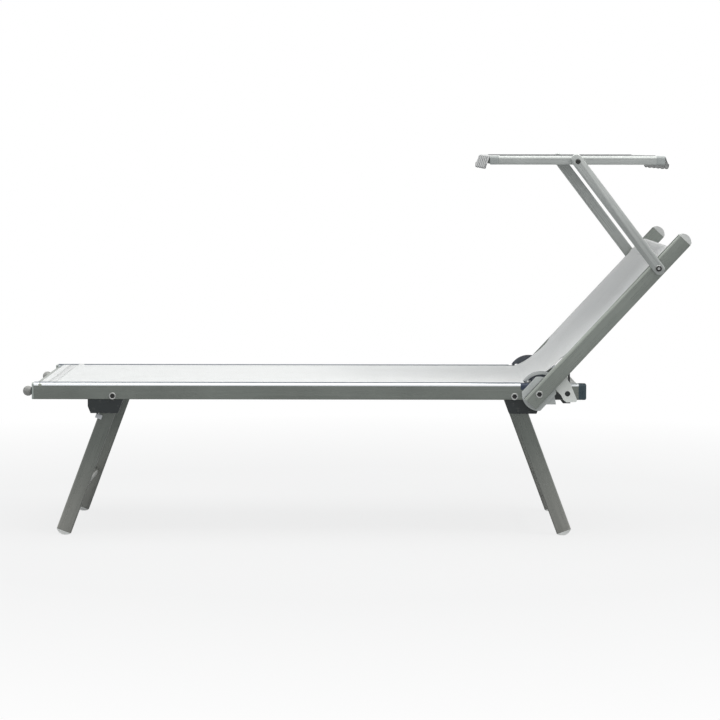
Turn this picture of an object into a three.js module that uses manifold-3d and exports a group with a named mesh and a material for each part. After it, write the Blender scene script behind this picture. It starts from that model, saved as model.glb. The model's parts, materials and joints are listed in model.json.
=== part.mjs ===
// A folding aluminium sun lounger with a reclining back and a tilting sunshade.
// Millimetres and degrees. +X runs from the foot end to the head end, +Z is up.
import * as THREE from "three";
import { mergeVertices } from "three/addons/utils/BufferGeometryUtils.js";
import Module from "manifold-3d";

const wasm = await Module();
wasm.setup();

// The bed frame
const frameWidth = 600;
const seatHeight = 413;
const railLength = 1470;
const hingeFromHead = 126;
const hingeRise = 17;
const legBoltRise = 9;
const frontLegFromFoot = 214;
const rearLegFromHead = 190;

// The aluminium profile with a sling channel along its top
const profileWidth = 20;
const profileWall = 1.6;
const railHeight = 44;
const backTubeHeight = 42;
const canopyTubeHeight = 23;
const cornerRadius = 2;
const beadRadius = 8;
const grooveWidth = 1;
const grooveDepth = 0.7;
const channelInset = 9.2;
const channelDepth = 6.4;
const channelRadius = 3.2;
const slotWidth = 2.2;
const lipDrop = 2;

// Clearances
const fitGap = 0.3;
const stopGap = 0.4;
const noseGap = 0.5;

// Caps on the rail ends
const cornerCapThickness = 5;
const endCapThickness = 11;
const plugLength = 24;
const cornerCapRound = 1.5;
const endCapRound = 5;

// Crossbars
const crossbarWidth = 20;
const crossbarHeight = 28;
const crossbarCorner = 3;
const crossbarWall = 1.5;
const footCrossbarInset = 3;
const footCrossbarDrop = 6;
const headCrossbarInset = 22;
const lowCrossbarRise = 2;

// Ball bumpers on the foot crossbar
const bumperSpacing = 456;
const bumperRadius = 13.5;
const bumperNeckRadius = 8;
const bumperReach = 32;
const bumperRise = 16;

// Legs
const legDepth = 40;
const legWidth = 20;
const legInset = 30;
const legWall = 1.5;
const legCorner = 3;
const legLeanAngle = 20.5;
const footRadius = 25;
const treadDepth = 0.5;
const footPlugLength = 26;
const spreaderRadius = 10;
const spreaderWall = 1.5;
const spreaderRise = 116;

// Leg brackets under the rails
const bracketReach = 66;
const bracketTaper = 7.5;
const bracketTaperShare = 0.5;
const bracketDrop = 37;
const bracketMargin = 9;
const bracketWall = 3.5;
const bracketInset = 1;
const bracketBossRadius = 17;

// Bolts, rivets and screws
const boltRadius = 4;
const boltHeadRadius = 9.5;
const boltHeadHeight = 4;
const boltHeadChamfer = 1.2;
const socketRadius = 6;
const socketDepth = 2.6;
const nutRadius = 7;
const nutLength = 6;
const rivetRadius = 5;
const rivetHeadRadius = 7;
const rivetHeadHeight = 2;
const rivetTailHeight = 2.2;
const lowerScrewHeadRadius = 9;
const upperScrewHeadRadius = 7;
const screwHeadHeight = 4;

// Reclining back
const backAngle = 47.1;
const hingeGap = 6;
const backTubeTail = 35;
const backTubeReach = 557;
const backCapBulge = 15;
const topBarFromTip = 50;
const topBarRadius = 12.5;
const topBarWall = 1.5;

// Hinge moulding with its ratchet, and the guard inside the rail
const discRadius = 45;
const upperFlat = 36;
const lowerFlat = 33;
const flangeHeight = 8;
const toothDepth = 5;
const toothPitch = 11.7;
const toothCount = 5;
const toothSlopeShare = 0.6;
const lugStart = -8;
const lugEnd = 25;
const lugTip = 10.3;
const lugDrop = 52.7;
const guardRadius = 55;
const guardHubRadius = 14;
const guardThickness = 5;
const guardRound = 1;
const guardStartAngle = 28;
const guardEndAngle = 152;

// Recline catch
const catchFromHinge = 76;
const noseAngle = 16;
const catchThickness = 5;
const catchTop = 42;
const catchBack = 25.4;
const catchDrop = 23.1;
const catchLipShares = [[1, 1], [0.85, 0.5]];
const catchBellyShares = [[0.54, 0.16], [0.34, 0.71], [0.06, 1]];
const catchHeelShares = [[0.91, 0.94], [1, 0.71]];
const catchShoulderShares = [[0.28, 0.65], [-0.12, 1], [-0.38, 1]];
const releaseBarRadius = 4.5;
const releaseBarDrop = 24;
const releaseBarLead = 2;

// Sling fabric
const slingThickness = 1.4;
const slingBeadRadius = 2.6;
const footBarRadius = 8;
const footBarWall = 1.5;
const footBarFromFoot = 34;
const seatSlingMargin = 52;
const freeEdgeInset = 0.7;
const bendHandleShare = 0.55;

// Sunshade
const armPivotFromTip = 101;
const armLength = 352.5;
const armAngle = 127.4;
const armUpperOverhang = 6;
const armLowerOverhang = 3;
const armWidth = 30;
const armThickness = 12;
const armRound = 2.5;
const armBossRadius = 12;
const armBossHeight = 2;
const canopyLength = 460;
const canopySleeve = 22.5;
const canopyPivotRise = 8.5;
const bowWall = 2.5;
const bowInset = 2;
const bowRound = 3;
const valanceFlare = 8;
const valanceLength = 30;
const valanceWave = 3;
const valanceScallop = 2.5;
const valanceWaves = 6;
const valanceInset = 4;

// Facets
const arcSteps = 4;
const cornerSteps = 2;
const roundSteps = 16;
const bendSteps = 14;
const waveSteps = 6;
const valanceRows = 4;
const mergeTolerance = 1e-4;
const overrun = 4;

const turn = Math.PI / 180;
const quarter = Math.PI / 2;

// Places worked out from the sizes above
const hingeFromFoot = railLength - hingeFromHead;
const rearLegFromFoot = railLength - rearLegFromHead;
const midCrossbarFromFoot = (frontLegFromFoot + rearLegFromFoot) / 2;
const topBarFromHinge = backTubeReach - topBarFromTip;
const armPivotFromHinge = backTubeReach - armPivotFromTip;
const railOuter = frameWidth / 2;
const railInner = railOuter - profileWidth;
const railBottom = seatHeight - railHeight;
const legBoltHeight = railBottom + legBoltRise;
const hingeHeight = railBottom + hingeRise;
const backTubeInner = railOuter + hingeGap;
const backTubeOuter = backTubeInner + profileWidth;
const legOuter = railInner - legInset;
const legInner = legOuter - legWidth;
const guardOuter = railInner - fitGap;
const guardInner = guardOuter - guardThickness;
const armInner = backTubeOuter + fitGap + armBossHeight;
const armOuter = armInner + armThickness;
const lean = legLeanAngle * turn;

const finishes = {
  anodised: { color: 0x8b938b, roughness: 0.4, metalness: 0.8 },
  paleAluminium: { color: 0xa2aaa6, roughness: 0.36, metalness: 0.8 },
  lightPlastic: { color: 0xb4bab8, roughness: 0.55, metalness: 0 },
  darkPlastic: { color: 0x33383b, roughness: 0.6, metalness: 0 },
  bluePlastic: { color: 0x4c5a64, roughness: 0.5, metalness: 0 },
  rubber: { color: 0x5a5f62, roughness: 0.7, metalness: 0 },
  steel: { color: 0xc4c8c8, roughness: 0.3, metalness: 1 },
  sling: { color: 0xf0f1ee, roughness: 0.85, metalness: 0 },
};

// Outlines

function outline(points) {
  return new THREE.Shape(points.map(([x, y]) => new THREE.Vector2(x, y)));
}

function roundedRectangle(width, height, radius) {
  const x = width / 2 - radius;
  const y = height / 2 - radius;
  const shape = new THREE.Shape();
  shape.absarc(x, -y, radius, -quarter, 0, false);
  shape.absarc(x, y, radius, 0, quarter, false);
  shape.absarc(-x, y, radius, quarter, Math.PI, false);
  shape.absarc(-x, -y, radius, Math.PI, Math.PI + quarter, false);
  return shape;
}

function rectangularTube(width, height, radius, wall) {
  const shape = roundedRectangle(width, height, radius);
  const x = width / 2 - wall;
  const y = height / 2 - wall;
  shape.holes.push(outline([[-x, -y], [-x, y], [x, y], [x, -y]]));
  return shape;
}

function circleShape(radius) {
  return new THREE.Shape().absarc(0, 0, radius, 0, 2 * Math.PI, false);
}

// The profile's first axis runs outward from its inner face, the second one up.
function profileSilhouette(height) {
  const shape = new THREE.Shape();
  shape.absarc(profileWidth - cornerRadius, cornerRadius, cornerRadius, -quarter, 0, false);
  shape.absarc(profileWidth - beadRadius, height - beadRadius, beadRadius, 0, quarter, false);
  shape.lineTo(channelInset, height);
  shape.lineTo(0, height - lipDrop);
  shape.lineTo(0, cornerRadius);
  shape.lineTo(cornerRadius, 0);
  return shape;
}

function profileShape(height) {
  const beadBase = height - beadRadius;
  const channelCentre = height - channelDepth;
  const slotHalf = slotWidth / 2;
  const slotAngle = Math.acos(slotHalf / channelRadius);
  const shape = new THREE.Shape();
  shape.absarc(profileWidth - cornerRadius, cornerRadius, cornerRadius, -quarter, 0, false);
  shape.lineTo(profileWidth, beadBase - grooveWidth);
  shape.lineTo(profileWidth - grooveDepth, beadBase - grooveWidth);
  shape.lineTo(profileWidth - grooveDepth, beadBase);
  shape.absarc(profileWidth - beadRadius, beadBase, beadRadius, 0, quarter, false);
  shape.lineTo(channelInset + slotHalf, height);
  shape.absarc(channelInset, channelCentre, channelRadius, slotAngle, Math.PI - slotAngle, true);
  shape.lineTo(channelInset - slotHalf, height - lipDrop);
  shape.lineTo(0, height - lipDrop);
  shape.lineTo(0, cornerRadius);
  shape.lineTo(cornerRadius, 0);
  const left = profileWall;
  const right = profileWidth - profileWall;
  const top = chamberTop(height);
  shape.holes.push(outline([[left, profileWall], [left, top], [right, top], [right, profileWall]]));
  return shape;
}

function chamberTop(height) {
  return height - channelDepth - channelRadius - profileWall;
}

// The cut of a sling whose two edges turn down into channels and end in a round cord.
function slingShape(halfSpan, underside) {
  const half = slingThickness / 2;
  const top = underside + slingThickness;
  const beadCentre = underside - fitGap + lipDrop - channelDepth;
  const angle = Math.acos(half / slingBeadRadius);
  const shape = new THREE.Shape();
  shape.absarc(halfSpan, beadCentre, slingBeadRadius, Math.PI - angle, angle, false);
  shape.lineTo(halfSpan + half, top);
  shape.lineTo(-halfSpan - half, top);
  shape.absarc(-halfSpan, beadCentre, slingBeadRadius, Math.PI - angle, angle, false);
  shape.lineTo(-halfSpan + half, underside);
  shape.lineTo(halfSpan - half, underside);
  return shape;
}

// Solids from outlines

function extrude(shape, length, steps = arcSteps) {
  return new THREE.ExtrudeGeometry(shape, { depth: length, bevelEnabled: false, curveSegments: steps });
}

function extrudeRounded(shape, length, round) {
  return new THREE.ExtrudeGeometry(shape, {
    depth: length - 2 * round,
    bevelThickness: round,
    bevelSize: round,
    bevelOffset: -round,
    bevelSegments: 3,
    curveSegments: arcSteps,
  }).translate(0, 0, round);
}

const acrossToX = new THREE.Matrix4().makeBasis(
  new THREE.Vector3(0, 1, 0),
  new THREE.Vector3(0, 0, 1),
  new THREE.Vector3(1, 0, 0),
);

// An outline in Y and Z, run along X.
function alongX(shape, from, to) {
  return extrude(shape, to - from).applyMatrix4(acrossToX).translate(from, 0, 0);
}

// An outline in X and Z, run along Y.
function alongY(shape, from, to, steps) {
  return extrude(shape, to - from, steps).rotateX(quarter).translate(0, to, 0);
}

function alongYRounded(shape, from, to, round) {
  return extrudeRounded(shape, to - from, round).rotateX(quarter).translate(0, to, 0);
}

function alongZ(shape, from, to, steps) {
  return extrude(shape, to - from, steps).translate(0, 0, from);
}

function block(fromX, toX, fromY, toY, fromZ, toZ) {
  return new THREE.BoxGeometry(toX - fromX, toY - fromY, toZ - fromZ)
    .translate((fromX + toX) / 2, (fromY + toY) / 2, (fromZ + toZ) / 2);
}

// A profile of radius and place along Y, turned round the Y axis.
function turned(points) {
  return new THREE.LatheGeometry(points.map(([r, y]) => new THREE.Vector2(r, y)), roundSteps);
}

function roundTube(radius, wall, halfLength) {
  return turned([
    [radius, -halfLength],
    [radius, halfLength],
    [radius - wall, halfLength],
    [radius - wall, -halfLength],
    [radius, -halfLength],
  ]);
}

// A drill for a bore along Y at the given place.
function bore(radius, from, to, x = 0, z = 0) {
  const length = to - from + 2 * overrun;
  return new THREE.CylinderGeometry(radius, radius, length, roundSteps)
    .translate(x, (from + to) / 2, z);
}

// Joining and cutting

function solidOf(geometry) {
  const bare = geometry.clone();
  bare.deleteAttribute("normal");
  bare.deleteAttribute("uv");
  const merged = mergeVertices(bare, mergeTolerance);
  const index = merged.index.array;
  const triVerts = [];
  for (let i = 0; i < index.length; i += 3) {
    const [a, b, c] = [index[i], index[i + 1], index[i + 2]];
    if (a !== b && b !== c && c !== a) triVerts.push(a, b, c);
  }
  const vertProperties = merged.attributes.position.array;
  const mesh = { numProp: 3, vertProperties, triVerts: new Uint32Array(triVerts) };
  return new wasm.Manifold(new wasm.Mesh(mesh));
}

function geometryOf(solid) {
  const mesh = solid.getMesh();
  const geometry = new THREE.BufferGeometry();
  geometry.setAttribute("position", new THREE.BufferAttribute(mesh.vertProperties, 3));
  geometry.setIndex(new THREE.BufferAttribute(mesh.triVerts, 1));
  geometry.computeVertexNormals();
  return geometry;
}

function cut(body, ...tools) {
  return geometryOf(tools.reduce((left, tool) => left.subtract(solidOf(tool)), solidOf(body)));
}

function join(...bodies) {
  return geometryOf(bodies.map(solidOf).reduce((whole, body) => whole.add(body)));
}

function common(first, second) {
  return geometryOf(solidOf(first).intersect(solidOf(second)));
}

// Placing pieces

function add(parent, name, finish, geometry) {
  const mesh = new THREE.Mesh(geometry, new THREE.MeshStandardMaterial(finishes[finish]));
  mesh.name = name;
  parent.add(mesh);
  return mesh;
}

// A piece drawn for the +Y side, and its mirror image on the -Y side.
function addPair(parent, name, finish, geometry) {
  add(parent, `${name}_far`, finish, geometry);
  add(parent, `${name}_near`, finish, geometry).scale.y = -1;
}

function group(x, z, angle = 0) {
  const made = new THREE.Group();
  made.position.set(x, 0, z);
  made.rotation.y = -angle * turn;
  return made;
}

// Fasteners, drawn for the +Y side

function bolt(inner, outer) {
  const tail = inner - fitGap;
  const head = outer + fitGap;
  const crown = head + boltHeadHeight;
  return turned([
    [0, tail - nutLength],
    [nutRadius / 2, tail - nutLength],
    [nutRadius, tail - nutLength / 2],
    [nutRadius, tail],
    [boltRadius, tail],
    [boltRadius, head],
    [boltHeadRadius, head],
    [boltHeadRadius, crown - boltHeadChamfer],
    [boltHeadRadius - boltHeadChamfer, crown],
    [socketRadius, crown],
    [socketRadius, crown - socketDepth],
    [0, crown - socketDepth],
  ]);
}

function domeScrew(inner, outer, headRadius) {
  const tail = inner - fitGap;
  const head = outer + fitGap;
  const points = [
    [0, tail - nutLength],
    [nutRadius / 2, tail - nutLength],
    [nutRadius, tail - nutLength / 2],
    [nutRadius, tail],
    [boltRadius, tail],
    [boltRadius, head],
  ];
  for (let i = 0; i <= arcSteps; i++) {
    const angle = (quarter * i) / arcSteps;
    points.push([headRadius * Math.cos(angle), head + screwHeadHeight * Math.sin(angle)]);
  }
  points[points.length - 1][0] = 0;
  return turned(points);
}

function catchRivet() {
  const tail = railInner - fitGap;
  const face = railOuter + fitGap + catchThickness;
  return turned([
    [0, tail - rivetTailHeight],
    [rivetHeadRadius, tail - rivetTailHeight],
    [rivetHeadRadius, tail],
    [rivetRadius, tail],
    [rivetRadius, face - rivetHeadHeight],
    [rivetHeadRadius, face - rivetHeadHeight],
    [rivetHeadRadius, face],
    [0, face],
  ]);
}

// Bed frame pieces

function sideRail() {
  const from = cornerCapThickness + fitGap;
  const to = railLength - endCapThickness - fitGap;
  const rail = alongX(profileShape(railHeight), from, to).translate(0, railInner, railBottom);
  const hole = boltRadius + fitGap;
  return cut(
    rail,
    bore(hole, railInner, railOuter, frontLegFromFoot, legBoltHeight),
    bore(hole, railInner, railOuter, rearLegFromFoot, legBoltHeight),
    bore(hole, railInner, railOuter, hingeFromFoot, hingeHeight),
    bore(rivetRadius + fitGap, railInner, railOuter, hingeFromFoot + catchFromHinge, hingeHeight),
  );
}

// A cap of a profile's silhouette, from its seat to its rounded outer end.
function capBody(height, seat, end, round) {
  const facing = Math.sign(end - seat);
  const low = round;
  const high = height - round;
  const side = new THREE.Shape();
  side.absarc(end - facing * round, low, round, -quarter, facing > 0 ? 0 : -Math.PI, facing < 0);
  side.absarc(end - facing * round, high, round, facing > 0 ? 0 : Math.PI, quarter, facing < 0);
  side.lineTo(seat, height);
  side.lineTo(seat, 0);
  const body = alongX(profileSilhouette(height), Math.min(seat, end), Math.max(seat, end));
  return common(body, alongY(side, -overrun, profileWidth + overrun));
}

// A plug that fills the hollow of a profile from one end.
function profilePlug(height, from, to) {
  const side = profileWall + fitGap;
  return block(from, to, side, profileWidth - side, side, chamberTop(height) - fitGap);
}

function cornerCap() {
  const face = capBody(railHeight, cornerCapThickness, 0, cornerCapRound);
  const plug = profilePlug(railHeight, cornerCapThickness / 2, cornerCapThickness + plugLength);
  return join(face, plug).translate(0, railInner, railBottom);
}

function railEndCap() {
  const from = railLength - endCapThickness;
  const face = capBody(railHeight, from, railLength, endCapRound);
  const plug = profilePlug(railHeight, from - plugLength, from + endCapThickness / 2);
  return join(face, plug).translate(0, railInner, railBottom);
}

function crossbar(x, z) {
  const end = railInner - fitGap;
  const shape = rectangularTube(crossbarWidth, crossbarHeight, crossbarCorner, crossbarWall);
  return alongY(shape, -end, end, cornerSteps).translate(x, 0, z);
}

function footCrossbarHeight() {
  return seatHeight - footCrossbarDrop - crossbarHeight / 2;
}

function endBumper() {
  const seat = fitGap - footCrossbarInset;
  const centre = bumperReach - bumperRadius;
  const start = Math.acos(bumperNeckRadius / bumperRadius);
  const points = [[0, seat], [bumperNeckRadius, seat]];
  for (let i = 0; i <= 2 * arcSteps; i++) {
    const angle = -start + ((quarter + start) * i) / (2 * arcSteps);
    points.push([bumperRadius * Math.cos(angle), centre + bumperRadius * Math.sin(angle)]);
  }
  points[points.length - 1][0] = 0;
  return turned(points)
    .rotateZ(quarter)
    .translate(0, bumperSpacing / 2, railBottom + bumperRise);
}

// Across a leg that leans outward, the place at height z of a line beside its axis.
function besideLeg(z, offset) {
  return z * Math.tan(lean) - offset / Math.cos(lean);
}

// A moulded bracket under the rail, open below: a boss that spaces the leg from the rail, a
// cheek beside the leg and a web that stops its swing. Its origin is on the leg bolt, and the
// leg leans towards -X.
function legBracket() {
  const top = -legBoltRise - fitGap;
  const bottom = -legBoltRise - bracketDrop;
  const innerEdge = -(legDepth / 2 + bracketMargin);
  const stopEdge = legDepth / 2 + stopGap;
  const waist = top - bracketTaperShare * (top - bottom);
  const outerTop = -bracketReach;
  const outerBottom = bracketTaper - bracketReach;
  const cheekInner = legOuter + fitGap;
  const cheekOuter = railOuter - bracketInset;
  const cheek = outline([
    [outerTop, top],
    [besideLeg(top, innerEdge), top],
    [besideLeg(bottom, innerEdge), bottom],
    [outerBottom, bottom],
    [outerTop, waist],
  ]);
  const web = outline([
    [outerTop, top],
    [besideLeg(top, stopEdge), top],
    [besideLeg(bottom, stopEdge), bottom],
    [outerBottom, bottom],
    [outerTop, waist],
  ]);
  const webPocket = outline([
    [outerTop + bracketWall, top - bracketWall],
    [besideLeg(top, stopEdge + bracketWall), top - bracketWall],
    [besideLeg(bottom, stopEdge + bracketWall), bottom - overrun],
    [outerBottom + bracketWall, bottom - overrun],
    [outerTop + bracketWall, waist],
  ]);
  const cheekPocket = outline([
    [besideLeg(top, stopEdge), top - bracketWall],
    [besideLeg(top, innerEdge + bracketWall), top - bracketWall],
    [besideLeg(bottom, innerEdge + bracketWall), bottom - overrun],
    [besideLeg(bottom, stopEdge), bottom - overrun],
  ]);
  return cut(
    join(
      alongY(cheek, cheekInner, cheekOuter),
      alongY(web, legInner, cheekOuter),
      alongY(bracketBoss(), cheekInner, railInner - fitGap),
    ),
    alongY(webPocket, legInner + bracketWall, cheekOuter - bracketWall),
    alongY(cheekPocket, cheekInner + bracketWall, cheekOuter - bracketWall),
    bore(boltRadius + fitGap, cheekInner, railInner),
  );
}

function bracketBoss() {
  const foot = -legBoltRise - fitGap - bracketWall / 2;
  const shape = new THREE.Shape();
  shape.absarc(0, 0, bracketBossRadius, 0, Math.PI, false);
  shape.lineTo(-bracketBossRadius, foot);
  shape.lineTo(bracketBossRadius, foot);
  return shape;
}

function hingeGuard() {
  const start = guardStartAngle * turn;
  const end = guardEndAngle * turn;
  const shape = new THREE.Shape();
  shape.absarc(0, 0, guardRadius, start, end, false);
  shape.absarc(0, 0, guardHubRadius, end, start + 2 * Math.PI, false);
  const disc = alongYRounded(shape, guardInner, guardOuter, guardRound);
  return cut(disc, bore(boltRadius + fitGap, guardInner, guardOuter));
}

// Sling pieces

function seatSlingUnderside() {
  return seatHeight - lipDrop + fitGap;
}

function sleeveOuterRadius(barRadius) {
  return barRadius + fitGap + slingThickness;
}

function footBarHeight() {
  return seatSlingUnderside() + slingThickness - sleeveOuterRadius(footBarRadius);
}

// The hem of a sling, sewn round a bar that runs along Y.
function hemSleeve(barRadius, halfLength) {
  return roundTube(sleeveOuterRadius(barRadius), slingThickness, halfLength);
}

function seatSling() {
  const underside = seatSlingUnderside();
  const start = footBarFromFoot + sleeveOuterRadius(footBarRadius);
  const end = hingeFromFoot - seatSlingMargin;
  const side = railInner - fitGap;
  const sleeve = hemSleeve(footBarRadius, side).translate(footBarFromFoot, 0, footBarHeight());
  return cut(
    join(
      alongX(slingShape(railInner + channelInset, underside), start, end),
      block(footBarFromFoot, end, -side, side, underside, underside + slingThickness),
      sleeve,
    ),
    bore(footBarRadius + fitGap, -side, side, footBarFromFoot, footBarHeight()),
  );
}

// On the back, distances run along the tube from the hinge and across it towards the sitter.
function backSlingUnderside() {
  return backTubeHeight / 2 - lipDrop + fitGap;
}

function topBarOffset() {
  return backSlingUnderside() + slingThickness - sleeveOuterRadius(topBarRadius);
}

// The sling on the back starts where it swings clear of the rail ends.
function backSlingStart() {
  return Math.hypot(railLength - hingeFromFoot, seatHeight - hingeHeight) + overrun;
}

function fromBack(along, across) {
  const c = Math.cos(backAngle * turn);
  const s = Math.sin(backAngle * turn);
  return new THREE.Vector2(
    hingeFromFoot + along * c - across * s,
    hingeHeight + along * s + across * c,
  );
}

// The free stretch of sling over the hinge, bent from the seat up to the back.
function hingeSling() {
  const half = slingThickness / 2;
  const start = new THREE.Vector2(
    hingeFromFoot - seatSlingMargin + fitGap,
    seatSlingUnderside() + half,
  );
  const end = fromBack(backSlingStart() - fitGap, backSlingUnderside() + half);
  const fold = foldPoint(start.y, end);
  const curve = new THREE.CubicBezierCurve(
    start,
    start.clone().lerp(fold, bendHandleShare),
    end.clone().lerp(fold, bendHandleShare),
    end,
  );
  const under = [];
  const over = [];
  for (let i = 0; i <= bendSteps; i++) {
    const point = curve.getPoint(i / bendSteps);
    const ahead = curve.getTangent(i / bendSteps);
    under.push([point.x + ahead.y * half, point.y - ahead.x * half]);
    over.unshift([point.x - ahead.y * half, point.y + ahead.x * half]);
  }
  const edge = guardInner - freeEdgeInset;
  return alongY(outline([...under, ...over]), -edge, edge);
}

// Where the plane of the seat sling meets the plane of the back sling.
function foldPoint(height, end) {
  const back = (end.y - height) / Math.tan(backAngle * turn);
  return new THREE.Vector2(end.x - back, height);
}

function backSling() {
  const underside = backSlingUnderside();
  const start = backSlingStart();
  const end = topBarFromHinge - sleeveOuterRadius(topBarRadius);
  const side = backTubeInner - fitGap;
  const sleeve = hemSleeve(topBarRadius, side).translate(topBarFromHinge, 0, topBarOffset());
  return cut(
    join(
      alongX(slingShape(backTubeInner + channelInset, underside), start, end),
      block(start, topBarFromHinge, -side, side, underside, underside + slingThickness),
      sleeve,
    ),
    bore(topBarRadius + fitGap, -side, side, topBarFromHinge, topBarOffset()),
  );
}

// Leg pieces, drawn with the leg hanging straight down from its bolt

const footCentreDrop = (legBoltHeight - footRadius + treadDepth) / Math.cos(lean);
const legTubeDrop = footCentreDrop + Math.sqrt(footRadius ** 2 - (legDepth / 2) ** 2);

function legTube() {
  const middle = (legInner + legOuter) / 2;
  const tube = alongZ(
    rectangularTube(legDepth, legWidth, legCorner, legWall),
    -legTubeDrop,
    legDepth,
    cornerSteps,
  ).translate(0, middle, 0);
  const side = new THREE.Shape();
  side.absarc(0, 0, legDepth / 2, 0, Math.PI, false);
  side.lineTo(-legDepth / 2, -legTubeDrop - overrun);
  side.lineTo(legDepth / 2, -legTubeDrop - overrun);
  const rounded = common(tube, alongY(side, legInner - overrun, legOuter + overrun, roundSteps / 2));
  return cut(rounded, bore(boltRadius + fitGap, legInner, legOuter));
}

// The foot is flat where it meets the ground, at the leg's lean.
function footCap() {
  const shoulder = legTubeDrop + fitGap;
  const spread = Math.acos((shoulder - footCentreDrop) / footRadius);
  const tread = Math.acos(1 - treadDepth / footRadius);
  const down = lean - quarter;
  const shape = new THREE.Shape();
  const z = -footCentreDrop;
  shape.absarc(0, z, footRadius, -quarter - spread, down - tread, false);
  shape.absarc(0, z, footRadius, down + tread, -quarter + spread, false);
  const side = legWall + fitGap;
  const plug = block(
    side - legDepth / 2,
    legDepth / 2 - side,
    legInner + side,
    legOuter - side,
    -shoulder - fitGap,
    footPlugLength - shoulder,
  );
  return join(alongY(shape, legInner, legOuter, 2 * arcSteps), plug);
}

function legSpreader() {
  const drop = (legBoltHeight - spreaderRise) / Math.cos(lean);
  return roundTube(spreaderRadius, spreaderWall, legInner - fitGap).translate(0, 0, -drop);
}

// Pieces of the back, drawn along +X from the hinge

function backTube() {
  const tube = alongX(profileShape(backTubeHeight), -backTubeTail, backTubeReach)
    .translate(0, backTubeInner, -backTubeHeight / 2);
  const hole = boltRadius + fitGap;
  return cut(
    tube,
    bore(hole, backTubeInner, backTubeOuter),
    bore(hole, backTubeInner, backTubeOuter, armPivotFromHinge),
  );
}

// The cap bulges in one arc from edge to edge of the tube.
function backTubeCap() {
  const half = backTubeHeight / 2;
  const from = backTubeReach + fitGap;
  const radius = (half ** 2 + backCapBulge ** 2) / (2 * backCapBulge);
  const spread = Math.asin(half / radius);
  const side = new THREE.Shape();
  side.absarc(from + backCapBulge - radius, half, radius, -spread, spread, false);
  const body = alongX(profileSilhouette(backTubeHeight), from, from + backCapBulge + overrun);
  const face = common(body, alongY(side, -overrun, profileWidth + overrun, roundSteps / 2));
  const plug = profilePlug(backTubeHeight, from - plugLength, from + backCapBulge / 2);
  return join(face, plug).translate(0, backTubeInner, -half);
}

function topBar() {
  return roundTube(topBarRadius, topBarWall, backTubeInner - fitGap)
    .translate(topBarFromHinge, 0, topBarOffset());
}

function onDisc(radius, angle) {
  return [radius * Math.cos(angle), radius * Math.sin(angle)];
}

// The disc round the hinge with its two flats, without teeth or lug.
function discShape() {
  const upper = Math.asin(upperFlat / discRadius);
  const lower = Math.asin(lowerFlat / discRadius);
  const shape = new THREE.Shape();
  shape.absarc(0, 0, discRadius, -lower, upper, false);
  shape.absarc(0, 0, discRadius, Math.PI - upper, Math.PI + lower, false);
  return shape;
}

// The wedges between ratchet teeth: each drops square and climbs back to the rim.
function ratchetNotch(step) {
  const angle = (noseAngle - backAngle + toothPitch * (step - 1)) * turn;
  const climb = toothPitch * toothSlopeShare * turn;
  return outline([
    onDisc(discRadius - toothDepth, angle),
    onDisc(discRadius + overrun, angle),
    onDisc(discRadius + overrun, angle + climb),
    onDisc(discRadius, angle + climb),
  ]);
}

function hingeMoulding() {
  const plateInner = railOuter + fitGap;
  const plateOuter = backTubeInner - fitGap;
  const rimTop = plateOuter + flangeHeight;
  const lug = outline([[lugStart, -lowerFlat], [lugTip, -lugDrop], [lugEnd, -lowerFlat], [0, 0]]);
  const body = join(
    alongY(discShape(), plateInner, rimTop, 2 * arcSteps),
    alongY(lug, plateInner, plateOuter),
  );
  const notches = [];
  for (let step = 0; step < toothCount; step++) {
    notches.push(alongY(ratchetNotch(step), plateInner - overrun, plateOuter));
  }
  const halfTube = backTubeHeight / 2 + fitGap;
  const pocketStart = -backTubeTail - fitGap;
  const pocketEnd = discRadius + overrun;
  return cut(
    body,
    block(pocketStart, pocketEnd, plateOuter, rimTop + overrun, -halfTube, halfTube),
    bore(boltRadius + fitGap, plateInner, plateOuter),
    ...notches,
  );
}

// Recline catch, drawn round its rivet

function catchPlate() {
  const inner = railOuter + fitGap;
  const outer = inner + catchThickness;
  const [reachX, reachZ] = onDisc(discRadius + noseGap, noseAngle * turn);
  const noseX = reachX - catchFromHinge;
  const lip = catchLipShares.map(([x, z]) => [x * noseX, z * reachZ]);
  const belly = catchBellyShares.map(([x, z]) => [x * noseX, -z * catchDrop]);
  const heel = catchHeelShares.map(([x, z]) => [x * catchBack, -z * catchDrop]);
  const shoulder = catchShoulderShares.map(([x, z]) => [x * catchBack, z * catchTop]);
  const shape = outline([...lip, ...belly, ...heel, ...shoulder]);
  const counterbore = new THREE.CylinderGeometry(
    rivetHeadRadius + fitGap,
    rivetHeadRadius + fitGap,
    rivetHeadHeight + fitGap + overrun,
    roundSteps,
  ).translate(0, outer + (overrun - rivetHeadHeight - fitGap) / 2, 0);
  return cut(alongY(shape, inner, outer), bore(rivetRadius + fitGap, inner, outer), counterbore);
}

function releaseBar() {
  const end = railOuter;
  return turned([[0, -end], [releaseBarRadius, -end], [releaseBarRadius, end], [0, end]])
    .translate(-releaseBarLead, 0, -releaseBarDrop);
}

// Sunshade pieces

function canopyArm() {
  const half = armWidth / 2;
  const shape = new THREE.Shape();
  shape.absarc(armLength + armUpperOverhang, 0, half, -quarter, quarter, false);
  shape.absarc(-armLowerOverhang, 0, half, quarter, Math.PI + quarter, false);
  const boss = circleShape(armBossRadius);
  const bossInner = armInner - armBossHeight;
  const bossOuter = armInner + armThickness / 2;
  const hole = boltRadius + fitGap;
  return cut(
    join(
      alongYRounded(shape, armInner, armOuter, armRound),
      alongY(boss, bossInner, bossOuter),
      alongY(boss, bossInner, bossOuter).translate(armLength, 0, 0),
    ),
    bore(hole, bossInner, armOuter),
    bore(hole, bossInner, armOuter, armLength),
  );
}

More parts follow.
